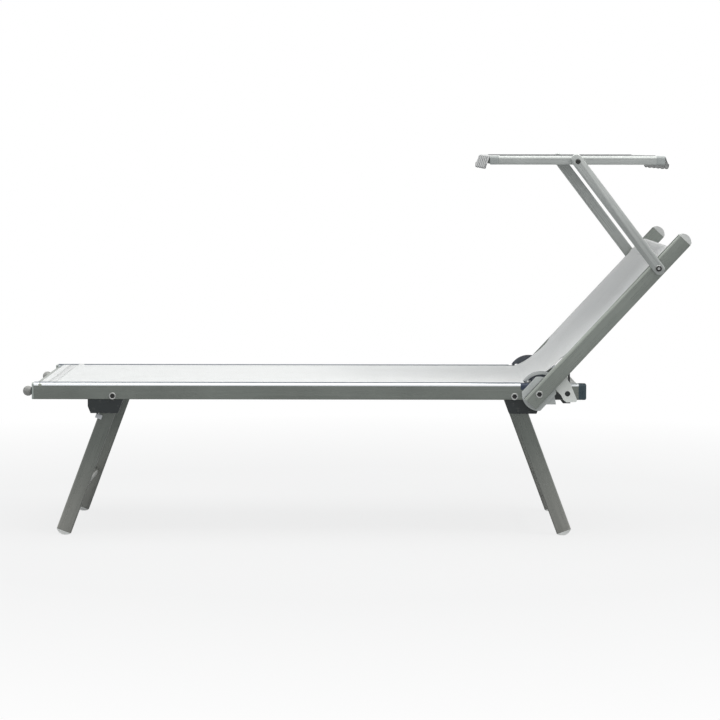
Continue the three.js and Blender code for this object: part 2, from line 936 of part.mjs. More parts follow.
function canopyTube() {
  const reach = canopyLength / 2 - canopySleeve;
  const tube = alongX(profileShape(canopyTubeHeight), -reach, reach)
    .translate(0, backTubeInner, -canopyPivotRise);
  return cut(tube, bore(boltRadius + fitGap, backTubeInner, backTubeOuter));
}

function canopySlingUnderside() {
  return canopyTubeHeight - canopyPivotRise - lipDrop + fitGap;
}

// One end of the shade's frame: a channel across, two corner sleeves and their plugs.
function canopyBow() {
  const from = canopyLength / 2 - canopySleeve + fitGap;
  const to = canopyLength / 2;
  const top = canopySlingUnderside() - fitGap;
  const bottom = lipDrop - canopyPivotRise;
  const bar = block(from + bowInset, to - bowInset, -backTubeInner, backTubeInner, bottom, top);
  const hollow = block(
    from + bowInset + bowWall,
    to - bowInset - bowWall,
    -backTubeInner + bowWall,
    backTubeInner - bowWall,
    bottom - overrun,
    top - bowWall,
  );
  const sleeve = capBody(canopyTubeHeight, from, to, bowRound);
  const corner = join(sleeve, profilePlug(canopyTubeHeight, from - plugLength, from + canopySleeve / 2))
    .translate(0, backTubeInner, -canopyPivotRise);
  const other = corner.clone().scale(1, -1, 1);
  other.index.array.reverse();
  return join(cut(bar, hollow), corner, other);
}

// A hanging strip of the shade's fabric: it flares outward in soft waves down to a scalloped hem.
function valance() {
  const top = canopySlingUnderside() + slingThickness;
  const root = canopyLength / 2 + slingThickness / 2;
  const halfWidth = backTubeOuter - valanceInset;
  const columns = valanceWaves * waveSteps;
  const rings = [];
  for (let i = 0; i <= columns; i++) {
    const y = halfWidth * ((2 * i) / columns - 1);
    const wave = (1 - Math.cos((2 * Math.PI * i) / waveSteps)) / 2;
    rings.push(valanceRing(y, wave, root, top));
  }
  return loft(rings);
}

function valanceRing(y, wave, root, top) {
  const outer = [];
  const inner = [];
  const drop = valanceLength + valanceScallop * wave;
  for (let row = 0; row <= valanceRows; row++) {
    const share = row / valanceRows;
    const x = root + valanceFlare * share + valanceWave * wave * share;
    const z = top - drop * share;
    outer.unshift(new THREE.Vector3(x + slingThickness, y, z));
    inner.push(new THREE.Vector3(x, y, z));
  }
  return [...inner, ...outer];
}

// A skin over rings of equal counts, closed by a strip across each end ring.
function loft(rings) {
  const count = rings[0].length;
  const positions = rings.flat().flatMap((point) => point.toArray());
  const index = [];
  for (let i = 0; i + 1 < rings.length; i++) {
    for (let j = 0; j < count; j++) {
      const a = i * count + j;
      const b = i * count + ((j + 1) % count);
      index.push(a, b + count, b, a, a + count, b + count);
    }
  }
  const last = (rings.length - 1) * count;
  for (let j = 0; j + 1 < count / 2; j++) {
    const [a, b, c, d] = [j, j + 1, count - 2 - j, count - 1 - j];
    index.push(a, b, c, a, c, d);
    index.push(last + a, last + c, last + b, last + a, last + d, last + c);
  }
  const geometry = new THREE.BufferGeometry();
  geometry.setAttribute("position", new THREE.Float32BufferAttribute(positions, 3));
  geometry.setIndex(index);
  return geometry;
}

function canopyFabric() {
  const underside = canopySlingUnderside();
  const section = slingShape(backTubeInner + channelInset, underside);
  const held = canopyLength / 2 - canopySleeve - fitGap;
  const edge = canopyLength / 2 + slingThickness;
  const side = backTubeInner - fitGap;
  const sheet = block(-edge, edge, -side, side, underside, underside + slingThickness);
  const front = valance();
  const rear = front.clone().rotateZ(Math.PI);
  return join(alongX(section, -held, held), sheet, front, rear);
}

// The assembly

function bedFrame() {
  const frame = new THREE.Group();
  const lowBar = railBottom + lowCrossbarRise + crossbarHeight / 2;
  const footBarX = footCrossbarInset + crossbarWidth / 2;
  addPair(frame, "side_rail", "anodised", sideRail());
  addPair(frame, "corner_cap", "lightPlastic", cornerCap());
  addPair(frame, "rail_end_cap", "bluePlastic", railEndCap());
  add(frame, "foot_crossbar", "anodised", crossbar(footBarX, footCrossbarHeight()));
  add(frame, "mid_crossbar", "anodised", crossbar(midCrossbarFromFoot, lowBar));
  add(frame, "head_crossbar", "anodised", crossbar(railLength - headCrossbarInset, lowBar));
  addPair(frame, "end_bumper", "rubber", endBumper());
  const footBar = roundTube(footBarRadius, footBarWall, railInner - fitGap)
    .translate(footBarFromFoot, 0, footBarHeight());
  add(frame, "sling_foot_bar", "anodised", footBar);
  add(frame, "seat_sling", "sling", seatSling());
  add(frame, "hinge_sling", "sling", hingeSling());
  addHinge(frame);
  addLegBrackets(frame, "front", frontLegFromFoot, 1);
  addLegBrackets(frame, "rear", rearLegFromFoot, -1);
  return frame;
}

function addHinge(frame) {
  const hinge = group(hingeFromFoot, hingeHeight);
  addPair(hinge, "hinge_bolt", "steel", bolt(guardInner, backTubeOuter));
  addPair(hinge, "hinge_guard", "bluePlastic", hingeGuard());
  const rivet = group(catchFromHinge, 0);
  addPair(rivet, "catch_rivet", "darkPlastic", catchRivet());
  hinge.add(rivet);
  frame.add(hinge);
}

// facing is 1 for legs that lean towards the foot end and -1 for the other pair.
function addLegBrackets(frame, name, x, facing) {
  const place = group(x, legBoltHeight);
  place.scale.x = facing;
  addPair(place, `leg_bracket_${name}`, "darkPlastic", legBracket());
  addPair(place, `leg_bolt_${name}`, "steel", bolt(legInner, railOuter));
  frame.add(place);
}

function legPair(name, x, facing) {
  const legs = group(x, legBoltHeight);
  legs.scale.x = facing;
  legs.rotation.y = facing * lean;
  addPair(legs, `${name}_leg`, "anodised", legTube());
  addPair(legs, `${name}_foot`, "lightPlastic", footCap());
  add(legs, `${name}_leg_spreader`, "anodised", legSpreader());
  return legs;
}

function canopyAssembly() {
  const canopy = group(armLength, 0, -armAngle);
  addPair(canopy, "canopy_tube", "paleAluminium", canopyTube());
  const bow = canopyBow();
  add(canopy, "canopy_rear_bow", "lightPlastic", bow);
  add(canopy, "canopy_front_bow", "lightPlastic", bow).scale.x = -1;
  add(canopy, "canopy_fabric", "sling", canopyFabric());
  return canopy;
}

function armAssembly() {
  const arms = group(armPivotFromHinge, 0, armAngle - backAngle);
  addPair(arms, "canopy_arm", "paleAluminium", canopyArm());
  const upper = group(armLength, 0);
  addPair(upper, "canopy_screw", "steel", domeScrew(backTubeInner, armOuter, upperScrewHeadRadius));
  arms.add(upper);
  arms.add(canopyAssembly());
  return arms;
}

function backAssembly() {
  const back = group(hingeFromFoot, hingeHeight, backAngle);
  addPair(back, "back_tube", "anodised", backTube());
  addPair(back, "back_tube_cap", "lightPlastic", backTubeCap());
  addPair(back, "hinge_moulding", "lightPlastic", hingeMoulding());
  add(back, "top_bar", "anodised", topBar());
  add(back, "backrest_sling", "sling", backSling());
  const pivot = group(armPivotFromHinge, 0);
  addPair(pivot, "arm_screw", "steel", domeScrew(backTubeInner, armOuter, lowerScrewHeadRadius));
  back.add(pivot);
  back.add(armAssembly());
  return back;
}

function catchAssembly() {
  const catches = group(hingeFromFoot + catchFromHinge, hingeHeight);
  addPair(catches, "catch_plate", "lightPlastic", catchPlate());
  add(catches, "release_bar", "darkPlastic", releaseBar());
  return catches;
}

const lounger = new THREE.Group();
lounger.add(
  bedFrame(),
  legPair("front", frontLegFromFoot, 1),
  legPair("rear", rearLegFromFoot, -1),
  backAssembly(),
  catchAssembly(),
);

// The origin is on the ground under the middle of the whole lounger.
const bounds = new THREE.Box3().setFromObject(lounger, true);
lounger.position.x = -(bounds.min.x + bounds.max.x) / 2;

export default lounger;
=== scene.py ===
import json
import math

import bpy
import bmesh
from mathutils import Matrix, Vector, noise

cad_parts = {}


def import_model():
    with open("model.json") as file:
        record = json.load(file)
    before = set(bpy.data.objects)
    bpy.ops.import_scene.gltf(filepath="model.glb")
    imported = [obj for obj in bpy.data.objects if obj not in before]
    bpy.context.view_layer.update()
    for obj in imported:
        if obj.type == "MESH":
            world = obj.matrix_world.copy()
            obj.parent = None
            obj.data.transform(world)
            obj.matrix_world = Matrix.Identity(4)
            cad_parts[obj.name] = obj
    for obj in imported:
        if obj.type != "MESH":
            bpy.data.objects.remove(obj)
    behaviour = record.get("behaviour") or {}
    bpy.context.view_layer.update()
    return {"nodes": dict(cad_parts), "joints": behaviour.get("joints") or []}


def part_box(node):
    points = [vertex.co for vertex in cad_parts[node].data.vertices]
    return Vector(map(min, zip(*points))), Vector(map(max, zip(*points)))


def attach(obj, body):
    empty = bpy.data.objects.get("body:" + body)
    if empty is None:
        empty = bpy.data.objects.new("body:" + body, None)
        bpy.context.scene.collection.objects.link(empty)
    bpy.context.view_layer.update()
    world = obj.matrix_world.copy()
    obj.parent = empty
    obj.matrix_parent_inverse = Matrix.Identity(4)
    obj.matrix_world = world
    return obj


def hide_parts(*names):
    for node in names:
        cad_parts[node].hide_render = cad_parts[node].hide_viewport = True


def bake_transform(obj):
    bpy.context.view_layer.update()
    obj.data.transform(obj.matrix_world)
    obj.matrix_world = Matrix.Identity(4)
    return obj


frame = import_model()
joints = {j["name"]: j for j in frame["joints"]}
nodes = frame["nodes"]

MM = 0.001
PI = math.pi
SIDES = (("far", 1), ("near", -1))

# Sizes and angles from the part's source
LEG_LEAN = math.radians(20.5)
ARM_ANGLE = math.radians(127.4)
CHANNEL = 9.2 * MM          # from a profile's inner face to the end of its channel
CLOTH = 1.4 * MM            # the sling's thickness
BEAD = 8 * MM               # radius of the rail's bead
BACK_LINE = 20 * MM         # the back's cloth stands this far off the hinge's line


# Places read from the frame

def mid(node):
    lo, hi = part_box(node)
    return (lo + hi) / 2


def size(node):
    lo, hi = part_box(node)
    return hi - lo


def pivot(joint):
    return Vector(joints[joint]["pos_m"])


HINGE = pivot("back_recline")
BACK_ANGLE = -math.radians(joints["back_recline"]["range_deg"][0])
RAIL_LO, RAIL_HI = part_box("side_rail_far")
RAIL_IN, RAIL_OUT = RAIL_LO.y, RAIL_HI.y
RAIL_TOP, RAIL_BOTTOM = RAIL_HI.z, RAIL_LO.z
TUBE_LO, TUBE_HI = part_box("canopy_tube_far")
BACK_IN = TUBE_LO.y
FOOT_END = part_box("corner_cap_far")[0].x
SLEEVE_START = HINGE.x - 48 * MM


def on_back(along, across):
    """A middle point of the back: along the tube from the hinge, and across it to the sitter."""
    c, s = math.cos(BACK_ANGLE), math.sin(BACK_ANGLE)
    return Vector((HINGE.x + along * c - across * s, 0, HINGE.z + along * s + across * c))


def back_place(point):
    """Along and across for a point of the row frame."""
    c, s = math.cos(BACK_ANGLE), math.sin(BACK_ANGLE)
    dx, dz = point.x - HINGE.x, point.z - HINGE.z
    return dx * c + dz * s, dz * c - dx * s


# Materials

class Nodes:
    """A short way to write a node tree."""

    def __init__(self, name):
        self.material = bpy.data.materials.new(name)
        self.material.use_nodes = True
        self.tree = self.material.node_tree
        self.shader = self.tree.nodes["Principled BSDF"]

    def add(self, kind, inputs=None, **settings):
        node = self.tree.nodes.new("ShaderNode" + kind)
        for key, value in settings.items():
            setattr(node, key, value)
        for key, value in (inputs or {}).items():
            self.put(node, key, value)
        return node

    def put(self, node, key, value):
        if isinstance(value, bpy.types.NodeSocket):
            self.tree.links.new(value, node.inputs[key])
        else:
            node.inputs[key].default_value = value

    def set(self, key, value):
        self.put(self.shader, key, value)

    def math(self, operation, *values):
        return self.add("Math", dict(enumerate(values)), operation=operation).outputs[0]

    def ramp(self, value, low, high, out_low=0.0, out_high=1.0):
        """Maps low..high to out_low..out_high, and clamps."""
        node = self.add("MapRange", {"Value": value, "From Min": low, "From Max": high,
                                     "To Min": out_low, "To Max": out_high})
        return node.outputs["Result"]

    def mix(self, share, first, second):
        node = self.add("Mix", data_type="RGBA")
        self.put(node, 0, share)
        self.put(node, 6, first)
        self.put(node, 7, second)
        return node.outputs[2]

    def places(self, angle=0.0, across=False):
        """Object coordinates with the first axis along the piece."""
        coords = self.add("TexCoord").outputs["Object"]
        turn = (0, 0, PI / 2) if across else (0, angle, 0)
        return self.add("Mapping", {"Vector": coords, "Rotation": turn}).outputs["Vector"]

    def height(self):
        """Height above the floor with the lounger at rest."""
        coords = self.add("TexCoord").outputs["Object"]
        return self.add("SeparateXYZ", {"Vector": coords}).outputs["Z"]

    def stretched(self, vector, scale):
        return self.add("Mapping", {"Vector": vector, "Scale": scale}).outputs["Vector"]

    def noise(self, vector, scale, detail=3.0, roughness=0.5):
        node = self.add("TexNoise", {
            "Vector": vector, "Scale": scale, "Detail": detail, "Roughness": roughness})
        return node.outputs["Fac"]

    def bump(self, height, distance, strength, normal=None):
        inputs = {"Height": height, "Distance": distance, "Strength": strength}
        if normal is not None:
            inputs["Normal"] = normal
        return self.add("Bump", inputs).outputs["Normal"]


ANODISED = (0.255, 0.275, 0.252, 1.0)
# The tone of a painted highlight along the top of the rail's bead, and the height it starts at
BEAD_HIGHLIGHT = (0.78, 0.81, 0.83, 1.0)
PALE = (0.48, 0.5, 0.485, 1.0)
WHITE = (0.89, 0.895, 0.885, 1.0)
DUST = (0.55, 0.54, 0.5, 1.0)
# A sand colour that lightens the legs toward the floor: dust, and also painted light
SAND_AND_LIGHT = (0.47, 0.46, 0.43, 1.0)
HIGHLIGHT_ABOVE = RAIL_TOP - 7.6 * MM
DUST_AND_LIGHT_BELOW = 0.26


def shade(color, share):
    """The colour, darker or lighter by a share."""
    return tuple(c * share for c in color[:3]) + (1.0,)


def aluminium(name, color, angle=0.0, across=False, metallic=0.75, painted_highlight=False, dusty_and_lit=False):
    """Satin anodised aluminium with drawing lines along it.

    It can carry a painted highlight along the top of the rail's bead, and sand-coloured dust near
    the floor that is also painted light: the legs get lighter downward."""
    satin = 0.3
    n = Nodes(name)
    place = n.places(angle, across)
    lines = n.noise(n.stretched(place, (3, 900, 900)), 1.0, 2.0)
    broad = n.noise(n.stretched(place, (4, 120, 120)), 1.0, 3.0)
    cloud = n.noise(place, 5.0, 4.0)
    grime = n.noise(place, 42.0, 5.0, 0.6)
    tone = n.math("ADD", n.math("MULTIPLY", cloud, 0.7), n.math("MULTIPLY", broad, 0.3))
    tinted = n.mix(n.ramp(tone, 0.3, 0.7), shade(color, 0.86), shade(color, 1.12))
    worn = n.mix(n.ramp(grime, 0.62, 0.8, 0.0, 0.25), tinted, shade(color, 0.7))
    # Lighter toward the floor: partly sand-coloured dust, partly painted light, leaving the upper
    # legs darker as if in the seat's shade
    if dusty_and_lit:
        settled = n.math("MULTIPLY", n.ramp(n.height(), 0.0, DUST_AND_LIGHT_BELOW, 0.62, 0.0),
                         n.ramp(broad, 0.2, 0.6, 0.7, 1.0))
        worn = n.mix(settled, worn, SAND_AND_LIGHT)
    # Painted highlight: the bead's top turns bright, as if it caught the sky
    if painted_highlight:
        highlight_tone = n.mix(n.ramp(cloud, 0.3, 0.7), shade(BEAD_HIGHLIGHT, 0.94), BEAD_HIGHLIGHT)
        above = n.ramp(n.height(), HIGHLIGHT_ABOVE - 0.4 * MM, HIGHLIGHT_ABOVE + 0.4 * MM)
        worn = n.mix(above, worn, highlight_tone)
    n.set("Base Color", worn)
    n.set("Metallic", metallic)
    rough = n.math("ADD", n.ramp(lines, 0.3, 0.7, satin - 0.06, satin + 0.08),
                   n.ramp(grime, 0.5, 0.8, 0.0, 0.08))
    n.set("Roughness", rough)
    n.set("Anisotropic", 0.45)
    n.set("Normal", n.bump(lines, 0.00006, 0.5, n.bump(broad, 0.0002, 0.35)))
    return n.material


def plastic(name, color, roughness=0.5, grain=0.00012):
    """A moulded plastic: a fine eroded grain, soft mottling and a little dust in patches."""
    n = Nodes(name)
    place = n.places()
    fine = n.noise(place, 900.0, 3.0, 0.6)
    mottle = n.noise(place, 18.0, 4.0)
    dust = n.noise(place, 70.0, 6.0, 0.65)
    tinted = n.mix(n.ramp(mottle, 0.3, 0.7), shade(color, 0.9), shade(color, 1.08))
    n.set("Base Color", n.mix(n.ramp(dust, 0.58, 0.78, 0.0, 0.18), tinted, DUST))
    n.set("Roughness", n.ramp(mottle, 0.3, 0.7, roughness - 0.06, roughness + 0.08))
    n.set("Normal", n.bump(fine, grain, 0.5, n.bump(dust, grain * 1.5, 0.3)))
    return n.material


def steel(name, color, roughness):
    """Turned stainless steel with fine rings of tool marks and small stains."""
    n = Nodes(name)
    place = n.places()
    marks = n.noise(n.stretched(place, (1500, 60, 1500)), 1.0, 2.0)
    stains = n.noise(place, 160.0, 4.0, 0.6)
    n.set("Base Color", n.mix(n.ramp(stains, 0.45, 0.75), shade(color, 1.0), shade(color, 0.6)))
    n.set("Metallic", 1.0)
    n.set("Roughness", n.ramp(stains, 0.4, 0.75, roughness, roughness + 0.2))
    n.set("Normal", n.bump(marks, 0.00004, 0.4))
    return n.material


def weave(name, color, pitch, depth, dirt=0.12):
    """Coated yarn woven one over one, in UV metres: u runs along the cloth and v across it."""
    n = Nodes(name)
    uv = n.add("TexCoord").outputs["UV"]
    parts = n.add("SeparateXYZ", {"Vector": uv})
    along = n.math("SINE", n.math("MULTIPLY", parts.outputs["X"], PI / pitch))
    across = n.math("SINE", n.math("MULTIPLY", parts.outputs["Y"], PI / pitch))
    warp = n.math("ABSOLUTE", along)
    weft = n.math("ABSOLUTE", across)
    which = n.ramp(n.math("MULTIPLY", along, across), -0.12, 0.12)
    high = n.add("Mix", {0: which, 2: warp, 3: weft}, data_type="FLOAT").outputs[0]
    hole = n.math("MULTIPLY", warp, weft)
    cells = n.add("CombineXYZ", {
        "X": n.math("FLOOR", n.math("DIVIDE", parts.outputs["X"], pitch)),
        "Y": n.math("FLOOR", n.math("DIVIDE", parts.outputs["Y"], pitch))}).outputs[0]
    yarn = n.noise(cells, 0.35, 2.0)
    soil = n.noise(n.stretched(uv, (9, 9, 9)), 1.0, 5.0, 0.6)
    streak = n.noise(n.stretched(uv, (1.5, 60, 1)), 1.0, 3.0)
    yarn_toned = n.mix(n.ramp(yarn, 0.3, 0.7), shade(color, 0.95), shade(color, 1.03))
    # Darker in the gaps between the threads: painted shade
    dark = n.mix(n.ramp(hole, 0.0, 0.3), shade(color, 0.86), yarn_toned)
    soiled = n.mix(n.ramp(soil, 0.45, 0.75, 0.0, dirt), dark, DUST)
    streaked = n.ramp(streak, 0.4, 0.8, 0.0, dirt * 0.6)
    n.set("Base Color", n.mix(streaked, soiled, shade(color, 0.82)))
    n.set("Roughness", n.ramp(high, 0.0, 1.0, 0.75, 0.55))
    n.set("Sheen Weight", 0.15)
    n.set("Sheen Roughness", 0.5)
    n.set("Normal", n.bump(high, depth, 0.6))
    return n.material


def thread(name, color):
    """Twisted sewing thread."""
    n = Nodes(name)
    place = n.places()
    twist = n.noise(n.stretched(place, (2600, 900, 2600)), 1.0, 1.0)
    n.set("Base Color", n.mix(twist, shade(color, 0.8), shade(color, 1.05)))
    n.set("Roughness", n.ramp(twist, 0.3, 0.7, 0.6, 0.85))
    n.set("Normal", n.bump(twist, 0.0001, 0.5))
    return n.material


# The rails carry the painted highlight on their bead
rail_metal = aluminium("anodised along the bed", ANODISED, painted_highlight=True)
# The crossbars and back tubes take the rails' anodised colour made lighter, and the legs the same
# colour made darker: painted light and shade on one finish. The shade tubes take the arms' pale
# colour made lighter: painted light.
cross_metal = aluminium("anodised across", shade(ANODISED, 1.2), across=True)
back_metal = aluminium("anodised along the back", shade(ANODISED, 1.24), BACK_ANGLE)
front_leg_metal = aluminium("anodised front legs", shade(ANODISED, 0.74), PI / 2 - LEG_LEAN,
                            dusty_and_lit=True)
rear_leg_metal = aluminium("anodised rear legs", shade(ANODISED, 0.8), PI / 2 + LEG_LEAN,
                           dusty_and_lit=True)
arm_metal = aluminium("pale arms", PALE, ARM_ANGLE, metallic=0.6)
shade_metal = aluminium("pale shade tubes", shade(PALE, 1.1), metallic=0.35)
light_plastic = plastic("light grey plastic", (0.58, 0.605, 0.59))
# The catch plates are the moulding's grey plastic made much lighter: painted light
plate_lit_plastic = plastic("catch plate plastic, lightened as painted light", (0.93, 0.95, 0.91))
sleeve_plastic = plastic("shade sleeve plastic", (0.42, 0.445, 0.435))
# A pale band on the dark guards: a painted highlight along their top
rim_highlight_plastic = plastic("pale guard rim, painted highlight", (0.58, 0.6, 0.59))
foot_plastic = plastic("foot plastic", (0.93, 0.935, 0.91), 0.55)
cap_plastic = plastic("tube cap plastic", (0.7, 0.71, 0.69), 0.55)
corner_plastic = plastic("corner cap plastic", (0.42, 0.46, 0.43), 0.4)
dark_plastic = plastic("charcoal plastic", (0.022, 0.027, 0.028), 0.5)
guard_plastic = plastic("guard plastic", (0.075, 0.085, 0.1), 0.45)
sleeve_blue = plastic("dark blue sleeve", (0.03, 0.045, 0.08), 0.3)
cap_blue = plastic("dark teal cap", (0.04, 0.068, 0.082), 0.28)
rubber = plastic("grey rubber", (0.4, 0.4, 0.38), 0.55, 0.0002)
pad_plastic = plastic("pale pad", (0.9, 0.92, 0.95), 0.45)
bright_steel = steel("stainless steel", (0.5, 0.51, 0.5), 0.3)
dull_steel = steel("dull screw", (0.5, 0.53, 0.47), 0.4)
# Near-black steel for the insides of sockets and a ring on the arm screws' domes: painted shade of
# a recess
socket_shade_steel = steel("near-black steel, painted socket shade", (0.05, 0.05, 0.05), 0.4)
black_dome = plastic("black screw cap", (0.03, 0.032, 0.03), 0.16, 0.00004)
sling_cloth = weave("white sling weave", WHITE, 1.3 * MM, 0.0003)
grey_strip_cloth = weave("greyer strip weave", shade(WHITE, 0.88), 1.3 * MM, 0.0002)
# The sunshade cloth is the white taken well down: painted shade, as its valances hang in shade
shade_cloth = weave("white sunshade cloth greyed as painted shade", shade(WHITE, 0.62), 0.8 * MM, 0.00007, 0.1)
# A grey cord used as painted shade in the valances' folds and the shade tubes' channels, and as hem
# piping
grey_shade_cord = thread("grey cord, painted fold and channel shade", (0.17, 0.175, 0.18))
# The welt's dark tone is painted shade of the channel
welt_shade_cord = thread("grey welt, painted channel shade", (0.22, 0.25, 0.29))
white_thread = thread("white thread", (0.8, 0.81, 0.8))


# The frame's own nodes keep their meshes and get materials and softened edges

FACET = 33                  # degrees: an edge as sharp as this is a real one
WELD = 2e-6                 # metres: points as close as this are one


def round_edges(obj, width, segments, angle):
    """Rounds the edges that are sharper than an angle in degrees."""
    bevel = obj.modifiers.new("edges", "BEVEL")
    bevel.width = width
    bevel.segments = segments
    bevel.limit_method = "ANGLE"
    bevel.angle_limit = math.radians(angle)
    bevel.harden_normals = True


def smooth_group():
    """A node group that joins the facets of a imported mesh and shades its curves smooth."""
    tree = bpy.data.node_groups.new("smooth facets", "GeometryNodeTree")
    tree.interface.new_socket("Geometry", in_out="INPUT", socket_type="NodeSocketGeometry")
    tree.interface.new_socket("Geometry", in_out="OUTPUT", socket_type="NodeSocketGeometry")
    start = tree.nodes.new("NodeGroupInput")
    bare = tree.nodes.new("GeometryNodeRemoveAttribute")
    bare.inputs["Name"].default_value = "custom_normal"
    merge = tree.nodes.new("GeometryNodeMergeByDistance")
    merge.inputs["Distance"].default_value = WELD
    faces = tree.nodes.new("GeometryNodeSetShadeSmooth")
    edges = tree.nodes.new("GeometryNodeSetShadeSmooth")
    edges.domain = "EDGE"
    edges.inputs["Shade Smooth"].default_value = False
    angle = tree.nodes.new("GeometryNodeInputMeshEdgeAngle")
    wide = tree.nodes.new("FunctionNodeCompare")
    wide.operation = "GREATER_THAN"
    wide.inputs[1].default_value = math.radians(FACET)
    end = tree.nodes.new("NodeGroupOutput")
    join = tree.links.new
    join(start.outputs[0], bare.inputs[0])
    join(bare.outputs[0], merge.inputs["Geometry"])
    join(merge.outputs[0], faces.inputs["Geometry"])
    join(faces.outputs[0], edges.inputs["Geometry"])
    join(angle.outputs[0], wide.inputs[0])
    join(wide.outputs[0], edges.inputs["Selection"])
    join(edges.outputs[0], end.inputs[0])
    return tree


SMOOTH = smooth_group()


def dress(name, material, edge):
    """Gives a CAD node its material, and rounds its hard edges by edge metres."""
    node = nodes[name]
    node.data.materials.clear()
    node.data.materials.append(material)
    node.modifiers.new("smooth", "NODES").node_group = SMOOTH
    if edge:
        round_edges(node, edge, 2, FACET)


def pair(name):
    return [f"{name}_far", f"{name}_near"]


finishes = [                # nodes, material, and rounding of the edges in mm
    (pair("side_rail"), rail_metal, 0.25),
    (pair("corner_cap"), corner_plastic, 0.6),
    (pair("rail_end_cap"), cap_blue, 0.3),
    (["foot_crossbar", "mid_crossbar", "head_crossbar"], cross_metal, 0),
    (["sling_foot_bar", "top_bar"], cross_metal, 0),
    (pair("leg_bracket_front") + pair("leg_bracket_rear"), dark_plastic, 0.5),
    (pair("front_leg") + ["front_leg_spreader"], front_leg_metal, 0),
    (pair("rear_leg") + ["rear_leg_spreader"], rear_leg_metal, 0),
    (pair("front_foot") + pair("rear_foot"), foot_plastic, 1.0),
    (pair("back_tube"), back_metal, 0.25),
    (pair("back_tube_cap"), cap_plastic, 0.5),
    (pair("hinge_moulding"), light_plastic, 0.5),
    (pair("catch_plate"), plate_lit_plastic, 0.7),
    (pair("canopy_arm"), arm_metal, 0),
    (pair("canopy_tube"), shade_metal, 0.2),
    (["canopy_rear_bow", "canopy_front_bow"], sleeve_plastic, 0.3),
]
for names, material, edge in finishes:
    for each in names:
        dress(each, material, edge * MM)


# Mesh building

def add_object(name, data):
    obj = bpy.data.objects.new(name, data)
    bpy.context.scene.collection.objects.link(obj)
    return obj


def piece(name, points, faces, material, uvs=None, smooth=True):
    """A mesh object of points and faces, with one material and a UV for each point."""
    mesh = bpy.data.meshes.new(name)
    mesh.from_pydata([tuple(p) for p in points], [], faces)
    mesh.materials.append(material)
    obj = add_object(name, mesh)
    if uvs:
        layer = mesh.uv_layers.new(name="UVMap")
        for loop in mesh.loops:
            layer.data[loop.index].uv = uvs[loop.vertex_index]
    if smooth:
        mesh.shade_smooth()
    return obj


def settle(obj):
    """Applies what its modifiers make, so that the mesh is final."""
    graph = bpy.context.evaluated_depsgraph_get()
    mesh = bpy.data.meshes.new_from_object(obj.evaluated_get(graph))
    obj.modifiers.clear()
    obj.data = mesh
    return obj


def tidy_normals(obj, sharp=None):
    """Turns all faces outward, and keeps edges above an angle in degrees sharp."""
    bm = bmesh.new()
    bm.from_mesh(obj.data)
    bmesh.ops.recalc_face_normals(bm, faces=bm.faces)
    bm.to_mesh(obj.data)
    bm.free()
    if sharp:
        obj.data.set_sharp_from_angle(angle=math.radians(sharp))
    return obj


def tube_faces(rings, sides, first=0):
    """Faces that join rings of points, one to the next, and close both ends."""
    faces = []
    last = first + (rings - 1) * sides
    for start in range(first, last, sides):
        for k in range(sides):
            a, b = start + k, start + (k + 1) % sides
            faces.append((a, b, b + sides, a + sides))
    faces.append(tuple(range(first + sides - 1, first - 1, -1)))
    faces.append(tuple(range(last, last + sides)))
    return faces


def cloth(name, rows, uv_rows, material, thickness=CLOTH):
    """A sheet from rows of points, with UV metres, made thick and settled."""
    wide = len(rows[0])
    points = [p for row in rows for p in row]
    uvs = [uv for row in uv_rows for uv in row]
    faces = []
    for i in range(len(rows) - 1):
        for j in range(wide - 1):
            a = i * wide + j
            faces.append((a, a + 1, a + wide + 1, a + wide))
    obj = piece(name, points, faces, material, uvs)
    thick = obj.modifiers.new("thick", "SOLIDIFY")
    thick.thickness = thickness
    thick.offset = 0.0
    thick.use_even_offset = False
    return settle(obj)


TIP = 0.0001                # radius at which a turned profile closes


def lathe(name, profile, centre, side, material, segments, hexes=(), about_x=False):
    """A profile of radius and place along Y or X, turned about it. Rows in hexes are six-sided."""
    points = []
    for k, (radius, along) in enumerate(profile):
        for i in range(segments):
            angle = 2 * PI * i / segments
            r = radius
            if k in hexes:
                part = angle % (PI / 3) - PI / 6
                r = radius * math.cos(PI / 6) / math.cos(part)
            x, y = r * math.cos(angle), side * along
            if about_x:
                x, y = y, x
            points.append(Vector((centre.x + x, centre.y + y, centre.z + r * math.sin(angle))))
    return tidy_normals(piece(name, points, tube_faces(len(profile), segments), material), 38)


def arc(centre, radius, start, end, steps):
    """Points of an arc in the plane of the profile, from start to end in degrees."""
    angles = [math.radians(start + (end - start) * i / steps) for i in range(steps + 1)]
    return [(centre[0] + radius * math.cos(a), centre[1] + radius * math.sin(a)) for a in angles]


# The line of a sling round its bars

def wrap(centre, radius, before, after):
    """Clockwise round a bar, from the touch of the line out of before to that into after."""
    steps = 16

    def angle_of(point, sign):
        gap = point - centre
        return math.atan2(gap.y, gap.x) + sign * math.acos(min(1.0, radius / gap.length))
    start, end = angle_of(before, -1), angle_of(after, 1)
    while end > start:
        end -= 2 * PI
    return [centre + radius * Vector((math.cos(a), math.sin(a)))
            for a in (start + (end - start) * i / steps for i in range(steps + 1))]


def bezier(a, b, c, d, steps):
    """Points of a cubic curve from a to d."""
    made = []
    for i in range(steps + 1):
        t = i / steps
        s = 1 - t
        made.append(s ** 3 * a + 3 * t * s ** 2 * b + 3 * t * t * s * c + t ** 3 * d)
    return made


def resample(line, step):
    """Points along a line of 2-D points: its own corners, with long runs split."""
    made = [line[0]]
    for a, b in zip(line, line[1:]):
        count = max(1, round((b - a).length / step))
        made.extend(a.lerp(b, i / count) for i in range(1, count + 1))
    return made


def flat2(point):
    """A point's X and Z."""
    return Vector((point.x, point.z))


def ease(value, low, high):
    """0 up to low, 1 from high on, and smooth between them."""
    t = max(0.0, min(1.0, (value - low) / (high - low)))
    return t * t * (3 - 2 * t)


